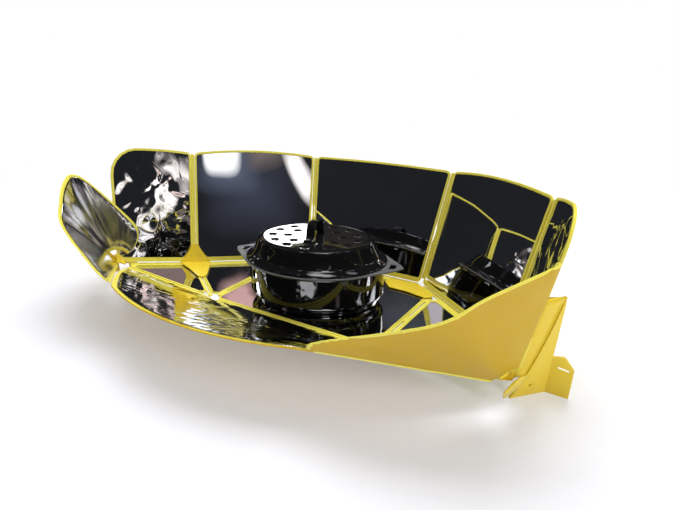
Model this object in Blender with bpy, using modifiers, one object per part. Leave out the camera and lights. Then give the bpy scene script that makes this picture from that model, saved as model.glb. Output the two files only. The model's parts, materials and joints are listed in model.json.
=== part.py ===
"""Fold-flat panel solar oven with its black enamel roaster, standing open as a bowl.

Metres, +Z up, the front towards -Y. The ground is z = 0 and the bowl is symmetric about x = 0.
Sizes are laid out from the middle of the back hinge; the last step centres the footprint.
Every panel is a yellow polypropylene tray with a mirror sheet let into its inner side.
"""
import bpy
import bmesh
import math
from mathutils import Matrix, Vector

# Back panel, the one behind the pot
BACK_BASE = 0.270
BACK_TOP = 0.323
BACK_SLANT = 0.230
BACK_LEAN = 73.1

# Side walls beside it, and end walls beyond those, as plan lengths and plan turns in degrees
SIDE_BASE = 0.257
SIDE_TURN = 37.2
SIDE_TOP = 0.2714
SIDE_TOP_TURN = 36.4
END_BASE = 0.160
END_TURN = 69.9
APEX_RISE = 0.0377
END_TOP_RUN = 0.173
END_TOP_HEIGHT = 0.259
END_CORNER_RADIUS = 0.052
BACK_CROWN = 0.003
SIDE_CROWN = 0.009
END_CROWN = 0.004
BOW_DEPTH = 0.12

# Floor
FLOOR_HALF_FRONT = 0.1735
FLOOR_DEPTH = 0.2667
FLOOR_NOTCH = 0.049

# Front panel
FRONT_RIM_HALF = 0.187
FRONT_RIM_REACH = 0.4598
FRONT_RIM_HEIGHT = 0.100
FRONT_BOW = 0.042
FRONT_CREASE_SHARE = 0.16
FRONT_SIDE_GAP = 0.0027
FRONT_APEX_CUT = 0.018

# Trays, mirrors and seams
TRAY_THICKNESS = 0.004
RECESS_DEPTH = 0.0022
RIM_WIDTH = 0.0045
BASE_RIM_WIDTH = 0.009
MIRROR_THICKNESS = 0.0012
SEAT_GAP = 0.0003
TRAY_CORNER = 0.009
BEAD_WIDTH = 0.008
BEAD_THICKNESS = 0.003
STRAP_WIDTH = 0.011
STRAP_SLOT = 0.0035
STRUT_WIDTH = 0.0075
STRUT_NECK = 0.0040
STRUT_THICKNESS = 0.003
SEAM_CLEARANCE = 0.0005
SHELL_THICKNESS = 0.0024
SHELL_RIM = 0.006
SHELL_SEAT = 0.00045

# Corner connectors
CONNECTOR_THICKNESS = 0.0022
DIAMOND_HALF_WIDTH = 0.035
DIAMOND_WALL_REACH = 0.043
DIAMOND_FLOOR_REACH = 0.092
DIAMOND_TIP_WIDTH = 0.015
DIAMOND_HOLE = 0.0032
CORNER_REACH = 0.066
CORNER_DEPTH = 0.050
CORNER_SHOULDER = 0.030
CORNER_TOE = 0.022
STAR_REACH = 0.0185
STAR_WAIST = 0.0085
STAR_TIP_TURN = 0.12
STAR_CLEARANCE = 0.0014

# Feet
FOOT_THICKNESS = 0.003
FOOT_WING_HEIGHT = 0.058
FOOT_SLOT = (0.014, 0.0045)
FOOT_HOLE = 0.004
FOOT_LUG_LOW = 0.070
FOOT_LUG_HIGH = 0.118
FOOT_LUG_INSET = 0.012

# Roaster pot, its flange and its lid, all drawn from the pot's radius
POT_CENTRE = (-0.0135, -0.152)
POT_TURN = 11.5
POT_OVAL = 0.77
POT_RADIUS = 0.1285
BASE_STEP = 0.0085
POT_BASE_RADIUS = POT_RADIUS - BASE_STEP
POT_HEIGHT = 0.078
POT_WALL = 0.0016
POT_LIP = 0.004
FLANGE_OVERHANG = 0.0095
FLANGE_DRAW = 0.034
FLANGE_RADIUS = POT_RADIUS + FLANGE_OVERHANG
FLANGE_TIP = FLANGE_RADIUS + FLANGE_DRAW
FLANGE_THICKNESS = 0.0022
GRIP_HOLE = (0.012, 0.040)
LID_OVERHANG = 0.006
LID_RIM_STEP = 0.0125
LID_SLOPE = 0.013
LID_RADIUS = POT_RADIUS + LID_OVERHANG
LID_STEP_RADIUS = LID_RADIUS - LID_RIM_STEP
LID_TOP_RADIUS = LID_STEP_RADIUS - LID_SLOPE
LID_HEIGHT = 0.040
LID_WALL = 0.0016
PLUG_CLEARANCE = 0.0019
LID_PLUG_RADIUS = POT_RADIUS - POT_WALL - PLUG_CLEARANCE
LID_PLUG_DEPTH = 0.006
DIMPLE_DEPTH = 0.0014
GRIP_SPAN = 0.052
GRIP_HEIGHT = 0.027
GRIP_WIDTH = 0.016
GRIP_THICKNESS = 0.0026

ARC_STEPS = 5
RIM_STEPS = 26

floor_z = TRAY_THICKNESS / 2
seam_half = math.hypot(BEAD_WIDTH, BEAD_THICKNESS) / 2 + SEAM_CLEARANCE
strap_half = math.hypot(STRAP_WIDTH, BEAD_THICKNESS) / 2 + SEAM_CLEARANCE
strut_half = STRUT_WIDTH / 2 + 1.6 * SEAM_CLEARANCE
INSIDE = Vector((0, -0.20, 0.30))


def clear_scene():
    for item in list(bpy.context.scene.objects):
        bpy.data.objects.remove(item, do_unlink=True)


def new_collection(name):
    group = bpy.data.collections.new(name)
    bpy.context.scene.collection.children.link(group)
    return group


def material(name, colour, roughness, metallic=0.0):
    mat = bpy.data.materials.new(name)
    mat.use_nodes = True
    shader = mat.node_tree.nodes["Principled BSDF"]
    shader.inputs["Base Color"].default_value = (*colour, 1.0)
    shader.inputs["Roughness"].default_value = roughness
    shader.inputs["Metallic"].default_value = metallic
    return mat


clear_scene()
parts = new_collection("solar_oven")
cutters = new_collection("cutters")
YELLOW = (0.84, 0.66, 0.07)
MIRROR = (0.92, 0.92, 0.93)
ENAMEL = (0.012, 0.012, 0.013)


# Corner points of one side, for side = -1 (left) or 1 (right)
def corner_points(side):
    lean = math.radians(BACK_LEAN)
    turn = math.radians(SIDE_TURN)
    top_turn = math.radians(SIDE_TOP_TURN)
    end_turn = math.radians(END_TURN)
    p = {}
    p["back_base"] = Vector((BACK_BASE / 2, 0, 0))
    p["back_top"] = Vector((BACK_TOP / 2, BACK_SLANT * math.cos(lean), BACK_SLANT * math.sin(lean)))
    p["side_base"] = p["back_base"] + SIDE_BASE * Vector((math.cos(turn), -math.sin(turn), 0))
    raw = p["back_top"] + SIDE_TOP * Vector((math.cos(top_turn), -math.sin(top_turn), 0))
    p["side_top"] = drop_on_plane(raw, p["back_base"], p["side_base"], p["back_top"])
    run = Vector((math.cos(end_turn), -math.sin(end_turn), 0))
    p["apex"] = p["side_base"] + END_BASE * run + Vector((0, 0, APEX_RISE))
    raw = p["side_top"] + END_TOP_RUN * run
    p["end_top"] = push_on_plane(raw, END_TOP_HEIGHT, p["side_base"], p["apex"], p["side_top"])
    p["floor_front"] = Vector((FLOOR_HALF_FRONT, -FLOOR_DEPTH, 0))
    along = (p["side_base"] - p["back_base"]).normalized()
    p["notch"] = p["back_base"] + FLOOR_NOTCH * along
    p["rim_corner"] = Vector((FRONT_RIM_HALF, -FRONT_RIM_REACH, FRONT_RIM_HEIGHT))
    for name in p:
        p[name] = Vector((side * p[name].x, p[name].y, p[name].z + floor_z))
    return p


def drop_on_plane(point, a, b, c):
    """The point straight above or below that lies in the plane of a, b and c."""
    n = (b - a).cross(c - a)
    return Vector((point.x, point.y, a.z - (n.x * (point.x - a.x) + n.y * (point.y - a.y)) / n.z))


def push_on_plane(point, height, a, b, c):
    """The point at a given height that lies in the plane of a, b and c, nearest to the one given."""
    n = (b - a).cross(c - a)
    flat = Vector((n.x, n.y, 0))
    start = Vector((point.x, point.y, height))
    return start - flat * (n.dot(start - a) / flat.length_squared)


# Frames and outlines
def frame_on(a, b, c, inside=INSIDE):
    """A frame at a, X towards b, in the plane of a, b and c, Z towards the inside of the bowl."""
    x = (b - a).normalized()
    z = x.cross(c - a).normalized()
    if z.dot(inside - a) < 0:
        z = -z
    y = z.cross(x)
    m = Matrix((x, y, z)).transposed().to_4x4()
    m.translation = a
    return m


def to_frame(frame, points):
    inverse = frame.inverted()
    return [(inverse @ p).to_2d() for p in points]


def turned_left(points):
    area = sum(a.cross(b) for a, b in zip(points, points[1:] + points[:1]))
    return area > 0


def shrink(points, insets):
    """Moves each side of a polygon inwards by its own inset; side i runs from point i to i + 1."""
    sign = 1 if turned_left(points) else -1
    n = len(points)
    lines = []
    for i in range(n):
        a, b = points[i], points[(i + 1) % n]
        d = (b - a).normalized()
        inward = Vector((-d.y, d.x)) * sign
        lines.append((a + inward * insets[i], d))
    result = []
    for i in range(n):
        (p, d), (q, e) = lines[i - 1], lines[i]
        k = (q - p).cross(e) / d.cross(e)
        result.append(p + d * k)
    return result


def rounded(points, radii, steps=ARC_STEPS):
    """Replaces each corner by an arc of its own radius."""
    n = len(points)
    result = []
    for i in range(n):
        a, b, c = points[i - 1], points[i], points[(i + 1) % n]
        u, v = (a - b).normalized(), (c - b).normalized()
        half = math.acos(max(-1, min(1, u.dot(v)))) / 2
        reach = radii[i] / math.tan(half)
        reach = min(reach, 0.48 * (a - b).length, 0.48 * (c - b).length)
        radius = reach * math.tan(half)
        if radius < 1e-5:
            result.append(b)
            continue
        centre = b + (u + v).normalized() * (radius / math.sin(half))
        start = (b + u * reach) - centre
        sweep = math.pi - 2 * half
        direction = 1 if start.cross((b + v * reach) - centre) > 0 else -1
        for k in range(steps + 1):
            angle = direction * sweep * k / steps
            turn = Matrix.Rotation(angle, 2)
            result.append(centre + turn @ start)
    return result


def bowed(loop, a, b, rise, spans=7):
    """Bows the run of a rounded outline that lies along the line from a to b outwards by a rise."""
    length = (b - a).length
    d = (b - a).normalized()
    outward = Vector((d.y, -d.x)) if turned_left(loop) else Vector((-d.y, d.x))
    result = []
    for p, q in zip(loop, loop[1:] + loop[:1]):
        result.append(p)
        on_line = max(abs((p - a).dot(outward)), abs((q - a).dot(outward))) < 1e-5
        if on_line and (q - p).length > length / spans:
            result += [p.lerp(q, k / spans) for k in range(1, spans)]
    for k, p in enumerate(result):
        t = max(0.0, min(1.0, (p - a).dot(d) / length))
        depth = max(0.0, -(p - a).dot(outward)) / BOW_DEPTH
        result[k] = p + outward * rise * 4 * t * (1 - t) * max(0.0, 1 - depth)
    return result


# Making objects
def curve_plate(name, loops, thickness, frame, middle, mat, group=parts):
    """A flat plate from closed outlines; the first is the outside and the rest are holes."""
    curve = bpy.data.curves.new(name, "CURVE")
    curve.dimensions = "2D"
    curve.fill_mode = "BOTH"
    curve.extrude = thickness / 2
    for loop in loops:
        spline = curve.splines.new("POLY")
        spline.points.add(len(loop) - 1)
        for point, place in zip(spline.points, loop):
            point.co = (place.x, place.y, 0, 1)
        spline.use_cyclic_u = True
    obj = bpy.data.objects.new(name, curve)
    group.objects.link(obj)
    obj.matrix_world = frame @ Matrix.Translation((0, 0, middle))
    curve.materials.append(mat)
    return obj


def as_mesh(obj):
    """Swaps a curve object for a mesh of the same shape, with its caps welded."""
    bpy.context.view_layer.update()
    graph = bpy.context.evaluated_depsgraph_get()
    mesh = bpy.data.meshes.new_from_object(obj.evaluated_get(graph))
    name, place = obj.name, obj.matrix_world.copy()
    group, mat = obj.users_collection[0], obj.data.materials[0]
    bpy.data.objects.remove(obj, do_unlink=True)
    bm = bmesh.new()
    bm.from_mesh(mesh)
    bmesh.ops.remove_doubles(bm, verts=bm.verts, dist=1e-6)
    bmesh.ops.recalc_face_normals(bm, faces=bm.faces)
    bm.to_mesh(mesh)
    bm.free()
    mesh.materials.clear()
    mesh.materials.append(mat)
    new = bpy.data.objects.new(name, mesh)
    new.name = name
    group.objects.link(new)
    new.matrix_world = place
    return new


def make_cutter(obj):
    obj.hide_render = True
    obj.display_type = "WIRE"
    return obj


def boolean(target, cutter, operation="DIFFERENCE"):
    mod = target.modifiers.new(operation.lower(), "BOOLEAN")
    mod.operation = operation
    mod.object = make_cutter(cutter)
    return mod


def bar_loop(length, width, end_round=True):
    """A bar along X from the origin, with round ends."""
    half = width / 2
    corners = [Vector((0, -half)), Vector((length, -half)), Vector((length, half)), Vector((0, half))]
    radius = half * 0.98 if end_round else half * 0.3
    return rounded(corners, [radius] * 4, 3)


def tray(name, points, seams, rims, radii, mat, bow_side=None, crown=0.0):
    """One panel: a shallow tray on the points' plane and the mirror sheet that lies in it.

    points[0] to points[1] is the hinged side, so the object's origin lies on its axis."""
    frame = frame_on(points[0], points[1], points[2])
    flat = to_frame(frame, points)
    outer = shrink(flat, seams)
    inner = shrink(outer, rims)
    sheet = shrink(inner, [SEAT_GAP] * len(inner))
    loops = []
    for shape, less in ((outer, 0.0), (inner, RIM_WIDTH), (sheet, RIM_WIDTH + SEAT_GAP)):
        round_off = [max(r - less, 0.003) for r in radii]
        loop = rounded(shape, round_off)
        if bow_side is not None:
            loop = bowed(loop, shape[bow_side], shape[bow_side + 1], crown)
        loops.append(loop)
    body = as_mesh(curve_plate(name, [loops[0]], TRAY_THICKNESS, frame, 0, mat[0]))
    depth = RECESS_DEPTH * 2
    half = TRAY_THICKNESS / 2
    cut = curve_plate(name + "_recess", [loops[1]], depth, frame, half, mat[0], cutters)
    boolean(body, as_mesh(cut))
    seat = TRAY_THICKNESS / 2 - RECESS_DEPTH + SEAT_GAP + MIRROR_THICKNESS / 2
    glass = curve_plate(name.replace("tray", "mirror"), [loops[2]], MIRROR_THICKNESS, frame, seat, mat[1])
    return body, glass


def bar_between(name, a, b, up, width, thickness, mat, gap_a=0.0, gap_b=0.0, slots=()):
    """A flat bar from a to b with its face towards up; slots are (from, to, width) along it."""
    x = (b - a).normalized()
    z = (up - x * up.dot(x)).normalized()
    m = Matrix((x, z.cross(x), z)).transposed().to_4x4()
    m.translation = a + x * gap_a
    length = (b - a).length - gap_a - gap_b
    loops = [bar_loop(length, width)]
    for start, end, slot_width in slots:
        loop = bar_loop((end - start) * length, slot_width)
        loops.append([point + Vector((start * length, 0)) for point in loop])
    return curve_plate(name, loops, thickness, m, 0, mat)


def bone_strut(name, a, b, up, mat, gap_a, gap_b, necks):
    """A strap between two wall panels: wide bars joined by narrow necks at shares of its length."""
    x = (b - a).normalized()
    z = (up - x * up.dot(x)).normalized()
    m = Matrix((x, z.cross(x), z)).transposed().to_4x4()
    m.translation = a + x * gap_a
    length = (b - a).length - gap_a - gap_b
    wide, thin = STRUT_WIDTH / 2, STRUT_NECK / 2
    side = [(0.0, wide)]
    for share in necks:
        middle, reach = share * length, 0.012
        side += [(middle - 1.6 * reach, wide), (middle - 0.8 * reach, thin)]
        side += [(middle + 0.8 * reach, thin), (middle + 1.6 * reach, wide)]
    side.append((length, wide))
    outline = [Vector((s, -w)) for s, w in side] + [Vector((s, w)) for s, w in reversed(side)]
    return curve_plate(name, [outline], STRUT_THICKNESS, m, 0, mat)


def grid_surface(name, rows, origin, thickness, mat, flip):
    """An open lofted surface through rows of points, given its thickness by Solidify."""
    bm = bmesh.new()
    grid = [[bm.verts.new(p - origin) for p in row] for row in rows]
    for low, high in zip(grid, grid[1:]):
        for i in range(len(low) - 1):
            quad = [low[i], low[i + 1], high[i + 1], high[i]]
            bm.faces.new(quad[::-1] if flip else quad)
    mesh = bpy.data.meshes.new(name)
    bm.to_mesh(mesh)
    bm.free()
    mesh.materials.append(mat)
    obj = bpy.data.objects.new(name, mesh)
    parts.objects.link(obj)
    obj.location = origin
    wall = obj.modifiers.new("thickness", "SOLIDIFY")
    wall.thickness = thickness
    wall.offset = 0
    wall.use_even_offset = True
    return obj


def catmull(points, steps):
    """A smooth open curve through points, as a list with steps spans between each two."""
    ends = [points[0] * 2 - points[1]] + points + [points[-1] * 2 - points[-2]]
    result = []
    for i in range(len(points) - 1):
        a, b, c, d = ends[i:i + 4]
        for k in range(steps):
            t = k / steps
            result.append(0.5 * (2 * b + (c - a) * t + (2 * a - 5 * b + 4 * c - d) * t * t
                                 + (3 * b - a - 3 * c + d) * t ** 3))
    result.append(points[-1])
    return result


def resample(points, count):
    """The same polyline with count + 1 points at even distances."""
    lengths = [0.0]
    for a, b in zip(points, points[1:]):
        lengths.append(lengths[-1] + (b - a).length)
    result = []
    for k in range(count + 1):
        want = lengths[-1] * k / count
        i = max(j for j in range(len(lengths)) if lengths[j] <= want + 1e-12)
        i = min(i, len(points) - 2)
        t = (want - lengths[i]) / (lengths[i + 1] - lengths[i])
        result.append(points[i].lerp(points[i + 1], t))
    return result


def side_name(base, side):
    return base + ("_left" if side < 0 else "_right")


def build_back(mats):
    left, right = corner_points(-1), corner_points(1)
    points = [left["back_base"], right["back_base"], right["back_top"], left["back_top"]]
    seams = [seam_half, strut_half, 0.0, strut_half]
    rims = [BASE_RIM_WIDTH, RIM_WIDTH, RIM_WIDTH, RIM_WIDTH]
    tray("back_wall_tray", points, seams, rims, [TRAY_CORNER] * 4, mats, 2, BACK_CROWN)


def build_side(side, mats):
    p = corner_points(side)
    points = [p["back_base"], p["side_base"], p["side_top"], p["back_top"]]
    seams = [seam_half, strut_half, 0.0, strut_half]
    rims = [BASE_RIM_WIDTH, RIM_WIDTH, RIM_WIDTH, RIM_WIDTH]
    radii = [TRAY_CORNER, 0.018, TRAY_CORNER, TRAY_CORNER]
    tray(side_name("side_wall_tray", side), points, seams, rims, radii, mats, 2, SIDE_CROWN)


def build_end(side, mats):
    p = corner_points(side)
    points = [p["side_base"], p["apex"], p["end_top"], p["side_top"]]
    seams = [seam_half, 0.0, 0.0, strut_half]
    rims = [BASE_RIM_WIDTH, RIM_WIDTH, RIM_WIDTH, RIM_WIDTH]
    radii = [0.018, 0.016, END_CORNER_RADIUS, TRAY_CORNER]
    tray(side_name("end_wall_tray", side), points, seams, rims, radii, mats, 2, END_CROWN)


def build_floor(mats):
    left, right = corner_points(-1), corner_points(1)
    points = [left["floor_front"], right["floor_front"], right["notch"], right["back_base"],
              left["back_base"], left["notch"]]
    seams = [seam_half, strap_half, seam_half, seam_half, seam_half, strap_half]
    rims = [RIM_WIDTH, 0.003, BASE_RIM_WIDTH, BASE_RIM_WIDTH, BASE_RIM_WIDTH, 0.003]
    radii = [0.012, 0.012, 0.006, 0.006, 0.006, 0.006]
    tray("floor_centre_tray", points, seams, rims, radii, mats)
    for side in (-1, 1):
        p = corner_points(side)
        points = [p["notch"], p["side_base"], p["floor_front"]]
        seams = [seam_half, seam_half, strap_half]
        rims = [BASE_RIM_WIDTH, 0.003, 0.003]
        tray(side_name("floor_side_tray", side), points, seams, rims, [0.012, 0.020, 0.012], mats)
        points = [p["side_base"], p["floor_front"], p["apex"]]
        seams = [seam_half, seam_half + 0.001, seam_half]
        rims = [0.003, RIM_WIDTH, BASE_RIM_WIDTH]
        tray(side_name("wing_tray", side), points, seams, rims, [0.020, 0.012, 0.014], mats)


def between(n, m):
    return (n.normalized() + m.normalized()).normalized()


def plane_normal(a, b, c):
    n = (b - a).cross(c - a).normalized()
    return n if n.dot(INSIDE - a) > 0 else -n


def build_seams(yellow):
    left, right = corner_points(-1), corner_points(1)
    up = Vector((0, 0, 1))
    bar_between("back_hinge", left["back_base"], right["back_base"], up, BEAD_WIDTH, BEAD_THICKNESS,
                yellow, 0.006, 0.006)
    bar_between("front_hinge", left["floor_front"], right["floor_front"], up, BEAD_WIDTH,
                BEAD_THICKNESS, yellow, 0.010, 0.010)
    back_n = plane_normal(left["back_base"], right["back_base"], right["back_top"])
    for side in (-1, 1):
        p = corner_points(side)
        side_n = plane_normal(p["back_base"], p["side_base"], p["side_top"])
        end_n = plane_normal(p["side_base"], p["apex"], p["end_top"])
        wing_n = plane_normal(p["side_base"], p["floor_front"], p["apex"])
        bar_between(side_name("side_hinge", side), p["back_base"], p["side_base"], up, BEAD_WIDTH,
                    BEAD_THICKNESS, yellow, 0.008, 0.016)
        bar_between(side_name("end_hinge", side), p["side_base"], p["apex"], wing_n, BEAD_WIDTH,
                    BEAD_THICKNESS, yellow, 0.016, 0.024, ((0.35, 0.85, 0.0028),))
        bar_between(side_name("wing_hinge", side), p["side_base"], p["floor_front"], up,
                    BEAD_WIDTH, BEAD_THICKNESS, yellow, 0.020, 0.016, ((0.42, 0.95, 0.0026),))
        bar_between(side_name("floor_strap", side), p["notch"], p["floor_front"], up, STRAP_WIDTH,
                    BEAD_THICKNESS, yellow, 0.014, 0.016, ((0.12, 0.46, STRAP_SLOT),
                                                          (0.56, 0.9, STRAP_SLOT)))
        bar_between(side_name("wing_front_hinge", side), p["floor_front"], p["apex"], wing_n,
                    BEAD_WIDTH, BEAD_THICKNESS, yellow, 0.014, 0.026)
        bar_between(side_name("petal_hinge", side), p["apex"], p["rim_corner"], Vector((0, 0, 1)),
                    0.0032, 0.0026, yellow, 0.030, 0.010)
        bone_strut(side_name("back_strut", side), p["back_base"], p["back_top"],
                   between(back_n, side_n), yellow, 0.014, 0.003, (0.44,))
        bone_strut(side_name("end_strut", side), p["side_base"], p["side_top"],
                   between(side_n, end_n), yellow, DIAMOND_WALL_REACH - 0.004, 0.003, ())


def front_lines():
    """The front panel's seam line on the floor side and its rim, each as a function of 0 to 1."""
    left, right = corner_points(-1), corner_points(1)
    seam = [left["apex"], left["floor_front"], right["floor_front"], right["apex"]]
    share = FRONT_CREASE_SHARE
    marks = [0.0, share, 1 - share, 1.0]

    def seam_at(t):
        i = 0 if t < share else (1 if t < 1 - share else 2)
        k = (t - marks[i]) / (marks[i + 1] - marks[i])
        return seam[i].lerp(seam[i + 1], k)

    def rim_at(t):
        x = FRONT_RIM_HALF * (2 * t - 1)
        bow = FRONT_BOW * (1 - (2 * t - 1) ** 2)
        return Vector((x, -FRONT_RIM_REACH - bow, FRONT_RIM_HEIGHT + floor_z + 0.06 * bow))

    return seam_at, rim_at


def front_point(t, v, lift=0.0):
    seam_at, rim_at = front_lines()
    a, b = seam_at(t), rim_at(t)
    point = a.lerp(b, v)
    if lift == 0.0:
        return point
    step = 0.004
    side = seam_at(min(t + step, 1)).lerp(rim_at(min(t + step, 1)), v)
    back = seam_at(max(t - step, 0)).lerp(rim_at(max(t - step, 0)), v)
    n = (side - back).cross(b - a).normalized()
    return point + n * (lift if n.z > 0 else -lift)


def front_start(v, gap):
    """The share t at which a row of the front panel is a gap away from the apex-to-rim line."""
    seam_at, rim_at = front_lines()
    a = seam_at(0)
    line = (rim_at(0) - a).normalized()
    low, high = 0.0, 0.3
    for _ in range(30):
        t = (low + high) / 2
        offset = seam_at(t).lerp(rim_at(t), v) - a
        if (offset - line * offset.dot(line)).length < gap:
            low = t
        else:
            high = t
    return high


def front_rows(edge_seam, edge_side, edge_rim, lift, across=5):
    """Rows of the front panel; each edge is a distance in from the seam, the sides or the rim."""
    seam_at, rim_at = front_lines()
    share = FRONT_CREASE_SHARE
    ts = [share * k / 4 for k in range(4)]
    ts += [share + (1 - 2 * share) * k / 16 for k in range(17)]
    ts += [1 - share * k / 4 for k in range(3, -1, -1)]
    rows = []
    for j in range(across + 1):
        row = []
        middle = (j + 0.5 * (across - j) * edge_seam / 0.15) / across
        start = front_start(middle, edge_side + FRONT_APEX_CUT * (1 - middle) ** 3)
        for t in ts:
            inner = start + (1 - 2 * start) * t
            ruling = rim_at(inner) - seam_at(inner)
            along_seam = (seam_at(min(inner + 0.01, 1)) - seam_at(max(inner - 0.01, 0))).normalized()
            along_rim = (rim_at(min(inner + 0.01, 1)) - rim_at(max(inner - 0.01, 0))).normalized()
            low = edge_seam / ruling.cross(along_seam).length
            high = 1 - edge_rim / ruling.cross(along_rim).length
            row.append(front_point(inner, low + (high - low) * j / across, lift))
        rows.append(row)
    return rows


def build_front(yellow, mirror):
    origin = Vector((0, -FLOOR_DEPTH, floor_z))
    rows = front_rows(seam_half, FRONT_SIDE_GAP, 0.0, 0.0)
    grid_surface("front_tray", rows, origin, SHELL_THICKNESS, yellow, False)
    lift = SHELL_THICKNESS / 2 + SHELL_SEAT + MIRROR_THICKNESS / 2
    rows = front_rows(seam_half + SHELL_RIM, FRONT_SIDE_GAP + SHELL_RIM, SHELL_RIM, lift)
    grid_surface("front_mirror", rows, origin, MIRROR_THICKNESS, mirror, False)


# Free edge of a petal from the front panel's rim corner round its tip to the apex, right side
PETAL_RIM = ((0.2078, -0.4675, 0.1202), (0.3338, -0.4369, 0.1634), (0.3770, -0.4080, 0.1925),
             (0.4110, -0.3790, 0.2115))
PETAL_TIP = (0.4360, -0.3500, 0.2232)
PETAL_EDGE = ((0.4292, -0.3323, 0.2190), (0.4138, -0.2999, 0.1784), (0.3935, -0.2600, 0.1190))
PETAL_CORNER = ((0.3864, -0.2512, 0.0955), (0.3853, -0.2600, 0.0730), (0.3858, -0.2720, 0.0600))
PETAL_APEX_CUT = 0.027
PETAL_SEAM = 0.0027
PETAL_LIFT = 0.0036


def petal_curve(side):
    """Points round a petal's free edge, and how many of them belong to the curved lobe."""
    p = corner_points(side)
    place = [Vector((side * x, y, z + floor_z)) for x, y, z in PETAL_RIM]
    tip = Vector((side * PETAL_TIP[0], PETAL_TIP[1], PETAL_TIP[2] + floor_z))
    along = (place[0] - p["rim_corner"]).normalized()
    start = p["rim_corner"] + along * PETAL_SEAM
    lobe = resample(catmull([start] + place + [tip], 8), RIM_STEPS)
    edge = [Vector((side * x, y, z + floor_z)) for x, y, z in PETAL_EDGE]
    last = [Vector((side * x, y, z + floor_z)) for x, y, z in PETAL_CORNER]
    back = resample(catmull([tip] + edge + last, 6), 14)
    return lobe, back[1:]


def petal_apex(side):
    p = corner_points(side)
    axis = (p["rim_corner"] - p["apex"]).normalized()
    lobe, _ = petal_curve(side)
    across = (lobe[6] - p["apex"])
    across = (across - axis * across.dot(axis)).normalized()
    end_n = plane_normal(p["side_base"], p["apex"], p["end_top"])
    return p["apex"] + across * PETAL_SEAM + end_n * PETAL_LIFT


def petal_rows(side, near, far, edge, lift, across=5):
    """Rows of a petal; rays run from its apex, cut off at near and ending short of the edge by far."""
    lobe, back = petal_curve(side)
    rim = lobe + back
    apex = petal_apex(side)
    rays = []
    for i, q in enumerate(rim):
        before = rim[max(i - 1, 0)]
        after = rim[min(i + 1, len(rim) - 1)]
        n = (after - before).cross(q - apex).normalized()
        if n.dot(INSIDE - q) < 0:
            n = -n
        rays.append([q, n])
    if edge > 0:
        first, second = rays[0][0], rays[1][0]
        rays[0][0] = first + (second - first).normalized() * edge
        last = rays[-1][0]
        inner = rays[-2][0]
        rays[-1][0] = last + (inner - last).normalized() * edge * 0.75
    rows = []
    for j in range(across + 1):
        row = []
        for q, n in rays:
            length = (q - apex).length
            r = near + (length - far - near) * j / across
            row.append(apex + (q - apex) / length * r + n * lift)
        rows.append(row)
    return rows


def build_petal(side, yellow, mirror):
    p = corner_points(side)
    origin = p["apex"]
    rows = petal_rows(side, PETAL_APEX_CUT, 0.0, 0.0, 0.0)
    grid_surface(side_name("petal_tray", side), rows, origin, SHELL_THICKNESS, yellow, side > 0)
    lift = SHELL_THICKNESS / 2 + SHELL_SEAT + MIRROR_THICKNESS / 2
    rows = petal_rows(side, PETAL_APEX_CUT + 0.006, SHELL_RIM, SHELL_RIM, lift)
    grid_surface(side_name("petal_mirror", side), rows, origin, MIRROR_THICKNESS, mirror, side > 0)


def lifted(point, normals, lift):
    """A point moved off two or more planes through it, so that it clears each of them by the lift."""
    if len(normals) == 1:
        return point + normals[0] * lift
    total = Vector((0, 0, 0))
    for n in normals:
        total += n
    total.normalize()
    reach = lift / min(total.dot(n) for n in normals)
    return point + total * reach


def fan_plate(name, centre, rims, thickness, mat):
    """A plate folded along lines from its centre, drawn as a fan and given its thickness."""
    bm = bmesh.new()
    middle = bm.verts.new(centre)
    ring = [bm.verts.new(p) for p in rims]
    for a, b in zip(ring, ring[1:] + ring[:1]):
        bm.faces.new([middle, a, b])
    bmesh.ops.recalc_face_normals(bm, faces=bm.faces)
    mesh = bpy.data.meshes.new(name)
    bm.to_mesh(mesh)
    bm.free()
    mesh.materials.append(mat)
    obj = bpy.data.objects.new(name, mesh)
    parts.objects.link(obj)
    wall = obj.modifiers.new("thickness", "SOLIDIFY")
    wall.thickness = thickness
    wall.offset = 0
    wall.use_even_offset = True
    return obj


def round_cutter(name, centre, axis, radius, depth, count=10):
    bpy.ops.mesh.primitive_cylinder_add(vertices=count, radius=radius, depth=depth)
    obj = bpy.context.object
    obj.name = name
    for group in list(obj.users_collection):
        group.objects.unlink(obj)
    cutters.objects.link(obj)
    obj.rotation_euler = axis.to_track_quat("Z", "Y").to_euler()
    obj.location = centre
    return obj


def disc(radius, centre, count=10):
    return [centre + Vector((math.cos(a), math.sin(a))) * radius
            for a in (2 * math.pi * k / count for k in range(count))]


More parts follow.
